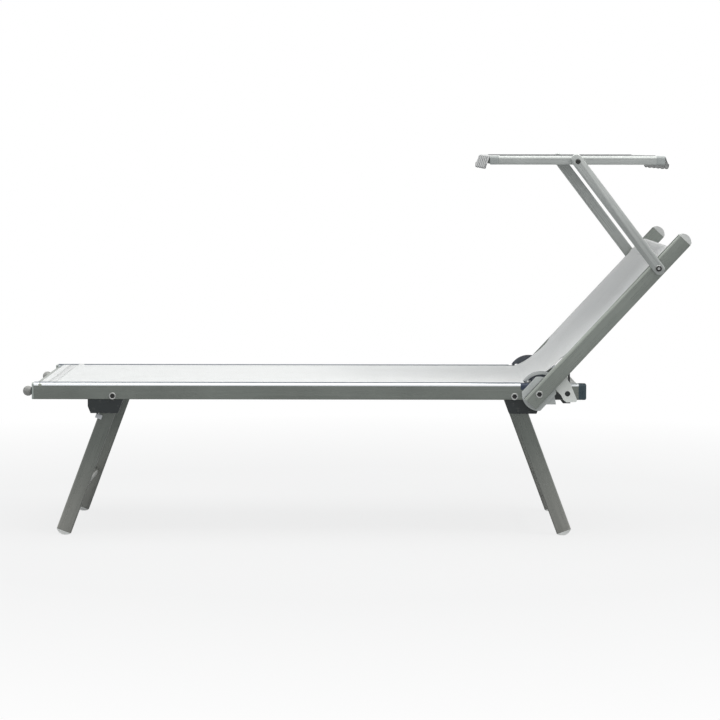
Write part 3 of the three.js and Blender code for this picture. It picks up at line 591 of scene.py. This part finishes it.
foot_bar = mid("sling_foot_bar")
foot_wrap = size("sling_foot_bar").x / 2 + 0.3 * MM + CLOTH / 2
top_bar = mid("top_bar")
top_wrap = size("top_bar").x / 2 + 0.3 * MM + CLOTH / 2
seat_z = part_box("seat_sling")[1].z - CLOTH / 2
cloth_top = seat_z + CLOTH / 2
bend_start = Vector((HINGE.x - 40 * MM, seat_z))    # the sling's line curves from here
bend_end = on_back(100 * MM, BACK_LINE)     # to here
JOIN_START, JOIN_END = 106 * MM, 128 * MM   # the cloth's edge enters the back's channel
top_along = back_place(top_bar)[0]
free_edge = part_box("hinge_sling")[1].y


def sling_line():
    """The middle of the sling's thickness in X and Z, from its foot hem to its head hem."""
    bar = flat2(foot_bar)
    flap = 1.5 * CLOTH
    under = [Vector((bar.x + 46 * MM, seat_z - flap)), Vector((bar.x + 34 * MM, seat_z - flap))]
    line = under + wrap(bar, foot_wrap, under[1], Vector((bar.x + 1.0, seat_z)))
    fold = flat2(bend_end)
    corner = Vector((fold.x - (fold.y - seat_z) / math.tan(BACK_ANGLE), seat_z))
    line += bezier(bend_start, bend_start.lerp(corner, 0.5), fold.lerp(corner, 0.5), fold, 26)
    near_bar = flat2(on_back(top_along - 1.0 * MM, BACK_LINE))
    over = [flat2(on_back(top_along - 34 * MM, BACK_LINE - flap)),
            flat2(on_back(top_along - 48 * MM, BACK_LINE - flap))]
    line.append(near_bar)
    line += wrap(flat2(top_bar), top_wrap, near_bar, over[0]) + over
    return resample(line, 10 * MM)


def sling_half_width(place):
    """Half the width, and how far the edge sits in its channel from 0 to 1, at a point."""
    along = back_place(place)[0]
    rail_edge = RAIL_IN + CHANNEL
    back_edge = BACK_IN + CHANNEL
    if along < 0:
        held = ease(place.x, foot_bar.x + 9 * MM, foot_bar.x + 14 * MM)
        freed = ease(place.x, bend_start.x - 17 * MM, bend_start.x - 3 * MM)
        inner = RAIL_IN - 0.5 * MM
        width = inner + (rail_edge - inner) * held
        return width + (free_edge - rail_edge) * freed, held * (1 - freed)
    joined = ease(along, JOIN_START, JOIN_END)
    ended = ease(along, top_along - 16 * MM, top_along - 9 * MM)
    inner = BACK_IN - 0.5 * MM
    width = free_edge + (back_edge - free_edge) * joined
    return width + (inner - back_edge) * ended, joined * (1 - ended)


SLING_COLUMNS = 44


def sling_columns(half, held):
    """Places across the cloth: both edges with their drop off the sheet, and None between."""
    free_edges = [(-9, -1.5), (0.5, -0.9)]      # mm out and up: a hem turned under
    held_edges = [(0.2, -5.2), (0.4, -1.6)]     # mm out and up: an edge down in its channel
    edges = [Vector(f).lerp(Vector(h), held) * MM for f, h in zip(free_edges, held_edges)]
    left = [(-(half + e.x), e.y) for e in edges]
    inside = half - 0.6 * MM
    flat = [((-1 + 2 * j / SLING_COLUMNS) * inside, None) for j in range(SLING_COLUMNS + 1)]
    return left + flat + [(-y, drop) for y, drop in reversed(left)]


def sling():
    """The sling's rows of points with their UV metres, and its length along its line.

    It sags a little, most in its middle, and has a soft ripple and crease."""
    seat_sag, back_sag, ripple_by, crease_by = 4, 7, 0.8, 0.35      # mm
    line = sling_line()
    top = len(line) - 1
    rows, uvs, length = [], [], 0.0
    for i, place in enumerate(line):
        ahead = (line[min(i + 1, top)] - line[max(i - 1, 0)]).normalized()
        normal = Vector((-ahead.y, 0, ahead.x))
        point = Vector((place.x, 0, place.y))
        if i:
            length += (place - line[i - 1]).length
        half, held = sling_half_width(point)
        along = back_place(point)[0]
        in_seat = ease(point.x, foot_bar.x, foot_bar.x + 0.25)
        in_seat *= 1 - ease(point.x, bend_start.x - 0.2, bend_start.x + 0.05)
        in_back = ease(along, 0.1, 0.3) * (1 - ease(along, top_along - 0.2, top_along - 0.03))
        row = []
        for y, drop in sling_columns(half, held):
            crown = max(0.0, 1 - (y / half) ** 2)
            off = drop
            if drop is None:
                sag = -crown * (seat_sag * in_seat + back_sag * in_back)
                ripple = noise.noise(Vector((length * 3.0, y * 5.0, 3.1))) * crown
                skew = Vector((length * 9.0 - y * 6.0, y * 3.0 + length, 8.2))
                crease = noise.noise(skew) * crown
                soft = ripple_by * ripple + crease_by * crease
                off = (sag + soft * (in_seat + 1.6 * in_back)) * MM
            row.append(point + normal * off + Vector((0, y, 0)))
        rows.append(row)
        uvs.append(row_uvs(row, length, half))
    return rows, uvs, length


def row_uvs(row, length, half):
    """UV metres of a row of points: how far along the cloth it is, and the way walked across."""
    walk = -half
    made = [(length, walk)]
    for a, b in zip(row, row[1:]):
        walk += (b - a).length
        made.append((length, walk))
    return made


rows, uvs, sling_length = sling()
sling_sheet = cloth("sling", rows, uvs, sling_cloth)
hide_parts("seat_sling", "hinge_sling", "backrest_sling")
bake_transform(sling_sheet)


# Hems, seams and cords

# One stitch's rings: place along it, share of the thread's radius, rise in radii
STITCH = ((-1, 0.35, -0.5), (-0.5, 0.9, 0.5), (0, 1, 0.8), (0.5, 0.9, 0.5), (1, 0.35, -0.5))


def stitches(name, middle, half, body):
    """A row of short thread stitches across the lounger, each a small arched bead."""
    length, gap, radius, sides = 3.2 * MM, 1.6 * MM, 0.32 * MM, 6
    start, end = (middle + Vector((0, y, 0)) for y in (-half, half))
    run = (end - start).length
    ahead, side, up = Vector((0, 1, 0)), Vector((1, 0, 0)), Vector((0, 0, 1))
    points, faces = [], []
    count = int(run / (length + gap))
    for k in range(count):
        base = start + ahead * (run * (k + 0.5) / count)
        faces += tube_faces(len(STITCH), sides, len(points))
        for t, swell, rise in STITCH:
            centre = base + ahead * (t * length / 2) + up * radius * rise
            for q in range(sides):
                angle = 2 * PI * q / sides
                around = side * math.cos(angle) + up * math.sin(angle)
                points.append(centre + radius * swell * around)
    obj = piece(name, points, faces, white_thread)
    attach(obj, body)


def piping(name, lines, radius, material, body, sides=8):
    """Round cord along each line of points, closed at its ends."""
    points, faces = [], []
    for line in lines:
        faces += tube_faces(len(line), sides, len(points))
        for i, spot in enumerate(line):
            ahead = (line[min(i + 1, len(line) - 1)] - line[max(i - 1, 0)]).normalized()
            upright = abs(ahead.z) >= 0.9
            side = ahead.cross(Vector((1, 0, 0) if upright else (0, 0, 1))).normalized()
            up = side.cross(ahead)
            for k in range(sides):
                angle = 2 * PI * k / sides
                points.append(spot + radius * (side * math.cos(angle) + up * math.sin(angle)))
    obj = tidy_normals(piece(name, points, faces, material), 60)
    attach(obj, body)


def strip(name, section, half, material, thickness):
    """A flat strip of cloth over the foot hem, from points along X and above the sling, in mm."""
    rows, uvs, length = [], [], 0.0
    columns = 24
    for x, up in section:
        spot = Vector((FOOT_END + x * MM, 0, cloth_top + up * MM))
        if rows:
            length += (spot - (rows[-1][0] + Vector((0, half, 0)))).length
        across = [-half + 2 * half * j / columns for j in range(columns + 1)]
        rows.append([spot + Vector((0, y, 0)) for y in across])
        uvs.append([(length, y) for y in across])
    obj = cloth(name, rows, uvs, material, thickness)
    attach(obj, "bed_frame")


HEM_FROM, HEM_TO, GREY_STRIP_TO = 20.5, 42, 62    # mm from the foot end
hem_turn = [(HEM_FROM + 0.5, -4.2), (HEM_FROM, -2.4), (HEM_FROM + 0.7, -0.8), (HEM_FROM + 2.2, 0.3)]
strip("foot_hem", hem_turn + [(HEM_FROM + 6, 0.55), (HEM_TO - 8, 0.55), (HEM_TO, 0.5)],
      RAIL_IN - 0.8 * MM, sling_cloth, 0.9 * MM)
# A slightly greyer strip of cloth laid just past the foot hem
strip("foot_grey_strip", [(HEM_TO + 0.4, 0.45), ((HEM_TO + GREY_STRIP_TO) / 2, 0.45), (GREY_STRIP_TO, 0.35)],
      RAIL_IN - 1.2 * MM, grey_strip_cloth, 0.6 * MM)
for k, place in enumerate((HEM_TO + 2.5, GREY_STRIP_TO - 2.5)):
    seam = Vector((FOOT_END + place * MM, 0, cloth_top + 0.75 * MM))
    stitches(f"foot_hem_stitches_{k + 1}", seam, RAIL_IN - 6 * MM, "bed_frame")
for k, (gap, up) in enumerate(((30, 1.2), (42, 0))):
    seam = on_back(top_along - gap * MM, BACK_LINE + CLOTH / 2 + up * MM)
    stitches(f"head_hem_stitches_{k + 1}", seam, BACK_IN - 6 * MM, "backrest")


# The sunshade's cloth: one sheet in the tubes' channels, over both bows and down into the valances

shade_pivot = pivot("canopy_tilt")
fabric_lo, fabric_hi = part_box("canopy_fabric")
shade_top = fabric_hi.z - CLOTH / 2
tube_reach = TUBE_HI.x - shade_pivot.x
bow_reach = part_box("canopy_rear_bow")[1].x - shade_pivot.x
WAVES = 6                   # lobes of a valance
LOBE_COLUMNS = 12           # columns of the cloth in each lobe
HANG_ROWS = 12              # rows of the cloth down a valance


def shade_section():
    """Half of the cloth's line from the middle outward: reach along X, height, hang from 0 to 1."""
    line = [(tube_reach * i / 14, 0.0, 0.0) for i in range(15)]
    line += [(tube_reach + (bow_reach - tube_reach) * i / 4, 0.0, 0.0) for i in (1, 2, 3)]
    fold = bow_reach + 0.9 * MM
    line += [(fold - 1.2 * MM, 0.0, 0.0), (fold - 0.35 * MM, -0.35 * MM, 0.01),
             (fold, -1.2 * MM, 0.03)]
    drop = shade_top - fabric_lo.z - 2 * MM
    for i in range(1, HANG_ROWS + 1):
        share = i / HANG_ROWS
        line.append((fold + 0.5 * MM * share, -1.2 * MM - (drop - 1.2 * MM) * share, share))
    return line


def shade_cloth_rows():
    """The shade cloth's rows of points with their UV metres, and its length along its line.

    Its top sags and ripples a little, and its valances hang in waves with scalloped hems."""
    section = shade_section()
    whole = [(-r, h, s, -1) for r, h, s in reversed(section[1:])]
    whole += [(r, h, s, 1) for r, h, s in section]
    sag_by, ripple_by, edge_drop = 5 * MM, 0.9 * MM, 4.8 * MM
    lean, swell, scallop = 7.5, 3.2, 3.5        # mm: how far a hem leans out, waves and dips
    columns = WAVES * LOBE_COLUMNS
    inside = BACK_IN - 0.6 * MM
    rows, uvs, length = [], [], 0.0
    before = None
    for reach, height, hang, side in whole:
        near = abs(reach)
        if before is not None:
            length += math.hypot(reach - before[0], height - before[1])
        before = (reach, height)
        in_tube = 1 - ease(near, tube_reach - 6 * MM, tube_reach)
        half = inside + (CHANNEL + 0.6 * MM) * in_tube
        if hang > 0:
            half = inside + 16.5 * MM * ease(hang, 0.0, 0.06)
        row = []
        spans = [(-1, 1)] + [(-1 + 2 * j / columns, 0) for j in range(columns + 1)] + [(1, 1)]
        for share, turned in spans:
            y = share * (half - 0.4 * MM * (1 - turned))
            wave = abs(math.sin(PI * WAVES * (share + 1) / 2)) ** 0.6
            slack = 0.6 + 0.4 * noise.noise(Vector((share * 4.0, side * 5.0, 1.7)))
            out = (lean * hang + swell * wave * hang ** 0.4 * slack) * MM
            drop = -scallop * MM * wave * hang
            corner = 1 - 0.3 * hang * (abs(share) ** 16)
            z = height * corner + drop
            crown = 1 - share * share
            sag = ripple = 0.0
            if not hang:
                sag = -sag_by * crown * (1 - ease(near, 0.02, tube_reach))
                ripple = ripple_by * noise.noise(Vector((reach * 8, y * 5, 5.5))) * crown
            if turned:
                z -= edge_drop * in_tube
                y += math.copysign(0.3 * MM, share)
            x = shade_pivot.x + reach + side * out
            row.append(Vector((x, y, shade_top + z + sag + ripple)))
        rows.append(row)
        uvs.append(row_uvs(row, length, half))
    return rows, uvs, length


rows, uvs, shade_length = shade_cloth_rows()
shade_sheet = cloth("canopy_cloth", rows, uvs, shade_cloth, 1.0 * MM)
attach(shade_sheet, "canopy")
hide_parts("canopy_fabric")


def valance_fold_shade_and_piping(rows):
    """Dark cords over each fold between the valances' lobes, painted shade in the creases, and
    piping along their scalloped hems.
    """
    front, rear = rows[HANG_ROWS::-1], rows[-HANG_ROWS - 1:]
    for end, side, hanging in (("front", -1, front), ("rear", 1, rear)):
        out = Vector((side, 0, 0)) * 0.7 * MM
        # Cords down the folds between lobes: painted shade in the creases
        lines = [[row[1 + k * LOBE_COLUMNS] + out for row in hanging] for k in range(1, WAVES)]
        lines.append([p + out * 0.5 for p in hanging[-1][1:-1]])
        piping(f"valance_fold_shade_and_piping_{end}", lines, 1.15 * MM, grey_shade_cord, "canopy", 6)


valance_fold_shade_and_piping(rows)


# Bolts, screws, rivets and bumpers, finer than their solids

def across_span(node):
    """A solid's axis along Y, its side, and how far from the middle it starts and ends."""
    lo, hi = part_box(node)
    side = 1 if node.endswith("_far") else -1
    centre = (lo + hi) / 2
    centre.y = 0
    inner, outer = (lo.y, hi.y) if side > 0 else (-hi.y, -lo.y)
    return centre, side, inner, outer


def fastener(name, node, body, radius, socket, deep, dome=False, shade_ring=None,
             material=bright_steel):
    """Rebuilds a bolt or screw along its own solid, with a socket, and replaces the solid."""
    centre, side, inner, outer = across_span(node)
    crown, shank, nut, nut_long = 4 * MM, 4 * MM, 7 * MM, 6 * MM
    head = outer - crown
    tail = [(TIP, inner), (shank, inner), (nut - 1 * MM, inner + 1.2 * MM),
            (nut, inner + 2.6 * MM), (nut, inner + nut_long), (shank, inner + nut_long),
            (shank, head)]
    if dome:
        angles = [PI / 2 * k / 12 for k in range(12)]
        top = [(radius * math.cos(a), head + crown * math.sin(a)) for a in angles]
        top = [(r, along) for r, along in top if r > socket + 0.2 * MM]
    else:
        round_by = 1.2 * MM
        top = arc((radius - 0.5 * MM, head + 0.5 * MM), 0.5 * MM, -90, 0, 3)
        top += arc((radius - round_by, outer - round_by), round_by, 0, 90, 6)
        top += [(socket + 0.3 * MM, outer)]
    level = top[-1][1]
    bottom = level - deep - 0.3 * MM
    hole = [(socket, level - 0.4 * MM), (socket, level - deep), (TIP, bottom)]
    first = len(tail) + len(top)
    hexes = (2, 3, 4, first, first + 1)
    obj = lathe(name, tail + top + hole, centre, side, material, 48, hexes)
    # Faces in a socket, or in the ring of a domed screw, take the near-black steel: painted shade
    obj.data.materials.append(socket_shade_steel)
    for face in obj.data.polygons:
        along = side * face.center.y
        away = math.hypot(face.center.x - centre.x, face.center.z - centre.z)
        in_socket = level - deep - 0.5 * MM < along < level - 0.25 * MM and away < socket * 1.01
        in_shade_ring = shade_ring and along > head + 0.3 * MM and shade_ring[0] < away < shade_ring[1]
        if in_shade_ring or (in_socket and not shade_ring):
            face.material_index = 1
    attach(obj, body)
    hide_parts(node)


for side, _ in SIDES:
    for name, node in (("front_leg_bolt", "leg_bolt_front"), ("rear_leg_bolt", "leg_bolt_rear"),
                       ("back_hinge_bolt", "hinge_bolt")):
        fastener(f"{name}_{side}", f"{node}_{side}", "bed_frame", 9.5 * MM, 6.8 * MM, 2.6 * MM)
    fastener(f"arm_dome_screw_{side}", f"arm_screw_{side}", "backrest",
             9 * MM, 2.6 * MM, 1.2 * MM, dome=True, shade_ring=(3.6 * MM, 7.8 * MM))
    fastener(f"canopy_dome_screw_{side}", f"canopy_screw_{side}", "canopy_arms",
             7 * MM, 1.8 * MM, 1.2 * MM, dome=True, material=black_dome)


def rivet(side):
    """The dark rivet that a catch plate hangs on, with a dished head."""
    node = f"catch_rivet_{side}"
    centre, sign, inner, outer = across_span(node)
    shank, head = 5 * MM, 7 * MM
    profile = [(TIP, inner), (head - 0.8 * MM, inner), (head, inner + 0.8 * MM),
               (head, inner + 2.2 * MM), (shank, inner + 2.2 * MM), (shank, outer - 2 * MM),
               (head, outer - 2 * MM), (head, outer - 0.6 * MM), (head - 0.6 * MM, outer),
               (4.2 * MM, outer), (3.6 * MM, outer - 1 * MM), (TIP, outer - 1 * MM)]
    obj = lathe(f"catch_pin_{side}", profile, centre, sign, dark_plastic, 48)
    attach(obj, "bed_frame")
    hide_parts(node)


def bumper(side):
    """A rubber ball on a short dark neck at the foot crossbar, turned about X."""
    node = f"end_bumper_{side}"
    lo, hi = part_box(node)
    centre = (lo + hi) / 2
    centre.x = hi.x
    neck, ball, dark_to = 8 * MM, (hi.z - lo.z) / 2, 13 * MM
    start = -math.degrees(math.acos(neck / ball))
    profile = [(TIP, 0.0), (neck - 0.4 * MM, 0.0), (neck, 0.4 * MM)]
    profile += arc((0, hi.x - lo.x - ball), ball, start, 89.9, 18)
    obj = lathe(f"ball_bumper_{side}", profile, centre, -1, rubber, 44, about_x=True)
    obj.data.materials.append(dark_plastic)
    for face in obj.data.polygons:
        if hi.x - face.center.x < dark_to:
            face.material_index = 1
    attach(obj, "bed_frame")
    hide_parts(node)


for side, _ in SIDES:
    rivet(side)
    bumper(side)


# Small fittings that ride on the frame

def rounded_box(name, centre, across, along, spans, material, body, round_by):
    """A box with rounded edges; its axes are across, along and their cross product."""
    third = across.cross(along)
    points = [centre + across * (a * spans[0] / 2) + along * (b * spans[1] / 2)
              + third * (c * spans[2] / 2)
              for a in (-1, 1) for b in (-1, 1) for c in (-1, 1)]
    faces = [(0, 1, 3, 2), (4, 6, 7, 5), (0, 4, 5, 1), (2, 3, 7, 6), (0, 2, 6, 4), (1, 5, 7, 3)]
    obj = tidy_normals(piece(name, points, faces, material, smooth=False))
    round_edges(obj, round_by, 4, 30)
    settle(obj)
    obj.data.shade_smooth()
    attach(obj, body)
    return obj


def stop_pads():
    """Pale pads clipped on the front legs' outer edges just under the brackets."""
    bolt = pivot("front_legs_fold")
    down = Vector((-math.sin(LEG_LEAN), 0, -math.cos(LEG_LEAN)))
    out = Vector((-math.cos(LEG_LEAN), 0, math.sin(LEG_LEAN)))
    leg_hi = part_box("front_leg_far")[1]
    for side, sign in SIDES:
        centre = bolt + down * 70 * MM + out * 18 * MM
        centre.y = sign * (leg_hi.y - 3.2 * MM)
        rounded_box(f"front_stop_pad_{side}", centre, out, down, (17.6 * MM, 12.5 * MM, 11 * MM),
                    pad_plastic, "front_legs", 1.6 * MM)


def bead_screws():
    """Small dome screws that hold the corner caps through the bead."""
    for side, sign in SIDES:
        centre = Vector((FOOT_END + 22 * MM, sign * (RAIL_OUT - 0.5 * MM), RAIL_TOP - 5.6 * MM))
        head = 4.6 * MM
        profile = [(TIP, -1.5 * MM), (head, -1.5 * MM), (head, 0.2 * MM)]
        profile += [(head * math.cos(a), (0.2 + 1.6 * math.sin(a)) * MM)
                    for a in (0.3, 0.6, 0.9, 1.15)]
        profile += [(1.3 * MM, 1.7 * MM), (1.2 * MM, 0.9 * MM), (TIP, 0.9 * MM)]
        obj = lathe(f"bead_screw_{side}", profile, centre, sign, dull_steel, 28)
        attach(obj, "bed_frame")


def rail_path(low, inner):
    """The rail's outer surface in Y and Z, from a height low over its bead to the Y inner."""
    up = [(RAIL_OUT, low), (RAIL_OUT, RAIL_TOP - BEAD)]
    up += arc((RAIL_OUT - BEAD, RAIL_TOP - BEAD), BEAD, 0, 90, 10)[1:]
    return up + [(inner, RAIL_TOP)]


def skin(name, path, thick, span, sign, material):
    """A thin cover laid on the rail's surface along a path, from one X to another."""
    outer = []
    for k, (y, z) in enumerate(path):
        before, after = Vector(path[max(k - 1, 0)]), Vector(path[min(k + 1, len(path) - 1)])
        ahead = (after - before).normalized()
        outer.append((y + ahead.y * thick, z - ahead.x * thick))
    ring = list(path) + outer[::-1]
    points = [Vector((x, sign * y, z)) for x in span for y, z in ring]
    obj = tidy_normals(piece(name, points, tube_faces(2, len(ring)), material), 35)
    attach(obj, "bed_frame")


def rail_skins():
    """Sleeves over the beads at the hinge, collars at the head end, and thin black plates by the
    catch that paint the shade there.
    """
    foot = RAIL_BOTTOM + 1.5 * MM
    sleeve = rail_path(RAIL_TOP - 17 * MM, RAIL_IN + 0.6 * MM)
    collar = rail_path(foot, RAIL_IN + CHANNEL + 2 * MM)
    shade_path = [(RAIL_OUT, foot), (RAIL_OUT, HINGE.z + 5 * MM)]
    for side, sign in SIDES:
        skin(f"bead_sleeve_{side}", sleeve, 0.2 * MM, (SLEEVE_START, HINGE.x + 6 * MM),
             sign, sleeve_blue)
        skin(f"end_collar_{side}", collar, 0.25 * MM, (RAIL_HI.x - 9 * MM, RAIL_HI.x),
             sign, cap_blue)
        # A thin black skin on the rail's face between hinge and catch: painted shade
        skin(f"shade_plate_{side}", shade_path, 0.2 * MM, (HINGE.x + 42 * MM, HINGE.x + 70 * MM),
             sign, dark_plastic)


def plate(name, outline, centre, low, high, sign, material, body, round_by):
    """An outline of X and Z about a centre, extruded along Y on one side, with rounded edges."""
    points = [Vector((centre.x + x, sign * y, centre.z + z))
              for y in (low, high) for x, z in outline]
    faces = tube_faces(2, len(outline))
    obj = tidy_normals(piece(name, points, faces, material, smooth=False))
    round_edges(obj, round_by, 3, 40)
    settle(obj)
    obj.data.shade_smooth()
    obj.data.set_sharp_from_angle(angle=math.radians(35))
    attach(obj, body)
    return obj


def guards():
    """Dark guards inboard of the rails, with a raised rim painted pale as a highlight, and a slot
    at their foot.
    """
    ahead, radius, rim = 8 * MM, 58 * MM, 9 * MM
    hub, slot_top, rail_level = 14 * MM, 32.5 * MM, 27.6 * MM
    centre = HINGE + Vector((ahead, 0, 0))
    lo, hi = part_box("hinge_guard_far")
    outline = arc((0, 0), radius, 35, 147, 30)
    outline += [(-45 * MM, rail_level), (-41 * MM, rail_level), (-39 * MM, slot_top),
                (-27 * MM, slot_top), (-25 * MM, rail_level)]
    outline += arc((-ahead, 0), hub, 150, 390, 12)
    band = arc((0, 0), radius - 0.2 * MM, 36, 146, 30) + arc((0, 0), radius - rim, 145, 37, 30)
    for side, sign in SIDES:
        disc = plate(f"finger_guard_{side}", outline, centre, lo.y, hi.y, sign, guard_plastic,
                     "bed_frame", 0.8 * MM)
        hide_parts(f"hinge_guard_{side}")
        # The rim is a pale band on the dark guard: a painted highlight along its top
        plate(f"guard_rim_{side}", band, centre, hi.y - 0.4 * MM, hi.y + 1.6 * MM, sign,
              rim_highlight_plastic, "bed_frame", 0.5 * MM)


def welts():
    """Welt cords along the channels where the cloth goes in, on rails and shade tubes, their dark
    tone painting the shade of the gap between cloth and bead.
    """
    radius = 1.5 * MM
    inset = CHANNEL + 1.4 * MM
    for side, sign in SIDES:
        ends = (FOOT_END + 6 * MM, SLEEVE_START)
        line = [Vector((x, sign * (RAIL_IN + inset), RAIL_TOP + 0.5 * MM)) for x in ends]
        piping(f"rail_welt_{side}", [line], radius, welt_shade_cord, "bed_frame")
        ends = (TUBE_LO.x + 3 * MM, TUBE_HI.x - 3 * MM)
        line = [Vector((x, sign * (BACK_IN + inset), TUBE_HI.z + 0.2 * MM)) for x in ends]
        piping(f"shade_welt_{side}", [line], radius * 0.8, grey_shade_cord, "canopy")


def catch_fittings():
    """The flat release bar under the catch plates, and a dark tab behind each plate that paints the
    shade there.
    """
    lo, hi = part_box("release_bar")
    centre = (lo + hi) / 2
    x_axis, y_axis = Vector((1, 0, 0)), Vector((0, 1, 0))
    bar = rounded_box("release_flat_bar", centre + Vector((0, 0, 0.7 * MM)), x_axis, y_axis,
                      (20.4 * MM, hi.y - lo.y, 5.5 * MM),
                      dark_plastic, "recline_catch", 1.0 * MM)
    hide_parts("release_bar")
    catch = pivot("catch_release")
    for side, sign in SIDES:
        # A dark upright tab behind the catch plate: painted shade
        spot = Vector((catch.x + 4 * MM, sign * (RAIL_OUT - 2.6 * MM), RAIL_TOP + 14 * MM))
        rounded_box(f"catch_shade_tab_{side}", spot, x_axis, y_axis, (5 * MM, 5 * MM, 24 * MM),
                    dark_plastic, "recline_catch", 0.8 * MM)


rail_skins()
guards()
welts()
catch_fittings()
stop_pads()
bead_screws()


# The camera at the photograph's viewing angle, fitted to 19 places measured on it

PHOTO_WIDTH = 720.0         # pixels
FOCAL = 2717.5              # pixels
SENSOR = 36.0               # millimetres
EYE = (0.0163, -7.4734, 1.0474)
YAW, DOWN, ROLL = -0.0002, 0.07968, 0.00149     # radians


def camera():
    data = bpy.data.cameras.new("camera")
    data.sensor_width = SENSOR
    data.lens = FOCAL * SENSOR / PHOTO_WIDTH
    data.clip_end = 60.0
    obj = add_object("camera", data)
    level = math.cos(DOWN)
    ahead = Vector((math.sin(YAW) * level, math.cos(YAW) * level, -math.sin(DOWN)))
    right = Vector((math.cos(YAW), -math.sin(YAW), 0))
    up = right.cross(ahead)
    tilted = math.cos(ROLL) * right + math.sin(ROLL) * up
    up = tilted.cross(ahead)
    turn = Matrix((tilted, up, -ahead)).transposed().to_4x4()
    turn.translation = Vector(EYE)
    obj.matrix_world = turn
    bpy.context.scene.camera = obj


def area_light(name, place, target, span, watts, tint):
    data = bpy.data.lights.new(name, "AREA")
    data.shape = "RECTANGLE"
    data.size, data.size_y = span
    data.energy = watts
    data.color = tint
    obj = add_object(name, data)
    obj.location = place
    obj.rotation_mode = "QUATERNION"
    obj.rotation_quaternion = (Vector(target) - Vector(place)).to_track_quat("-Z", "Y")


def floor():
    """A pale floor that keeps the shadow near the lounger and fades to plain white further off."""
    half, shadow_to, white_from = 90.0, 1.3, 3.0
    n = Nodes("pale floor")
    n.set("Base Color", (0.5, 0.5, 0.5, 1.0))
    n.set("Roughness", 0.9)
    glow = n.add("Emission", {"Color": (1, 1, 1, 1), "Strength": 1.0})
    seen = n.add("LightPath").outputs["Is Camera Ray"]
    place = n.add("TexCoord").outputs["Object"]
    far = n.add("VectorMath", {0: place}, operation="LENGTH").outputs["Value"]
    white = n.ramp(far, shadow_to, white_from, 0.8, 1.0)
    both = n.add("MixShader")
    join = n.tree.links.new
    join(n.math("MULTIPLY", seen, white), both.inputs[0])
    join(n.shader.outputs[0], both.inputs[1])
    join(glow.outputs[0], both.inputs[2])
    join(both.outputs[0], n.tree.nodes["Material Output"].inputs[0])
    corners = [(-half, -half, 0), (half, -half, 0), (half, half, 0), (-half, half, 0)]
    obj = piece("floor", corners, [(0, 1, 2, 3)], n.material, smooth=False)


def world():
    """Soft light all round, and a plain white backdrop for the camera and for reflections."""
    made = bpy.data.worlds.new("studio")
    bpy.context.scene.world = made
    made.use_nodes = True
    tree = made.node_tree
    back = tree.nodes["Background"]
    path = tree.nodes.new("ShaderNodeLightPath")
    either = tree.nodes.new("ShaderNodeMath")
    either.operation = "MAXIMUM"
    join = tree.links.new
    join(path.outputs["Is Camera Ray"], either.inputs[0])
    join(path.outputs["Is Glossy Ray"], either.inputs[1])
    mix = tree.nodes.new("ShaderNodeMixShader")
    soft = tree.nodes.new("ShaderNodeBackground")
    soft.inputs["Color"].default_value = (0.93, 0.97, 1.0, 1)
    soft.inputs["Strength"].default_value = 0.48
    back.inputs["Color"].default_value = (1, 1, 1, 1)
    back.inputs["Strength"].default_value = 1.0
    join(either.outputs[0], mix.inputs[0])
    join(soft.outputs[0], mix.inputs[1])
    join(back.outputs[0], mix.inputs[2])
    join(mix.outputs[0], tree.nodes["World Output"].inputs[0])


camera()
floor()
world()
area_light("overhead", place=(0.2, -0.4, 3.6), target=(0.2, -0.1, 0.4), span=(4.4, 3.2),
           watts=86, tint=(1.0, 0.995, 0.98))
area_light("key", place=(3.0, -2.2, 4.6), target=(0, 0, 0.4), span=(1.3, 1.3),
           watts=45, tint=(1.0, 0.98, 0.95))

bpy.context.scene.view_settings.view_transform = "Standard"
bpy.context.view_layer.update()
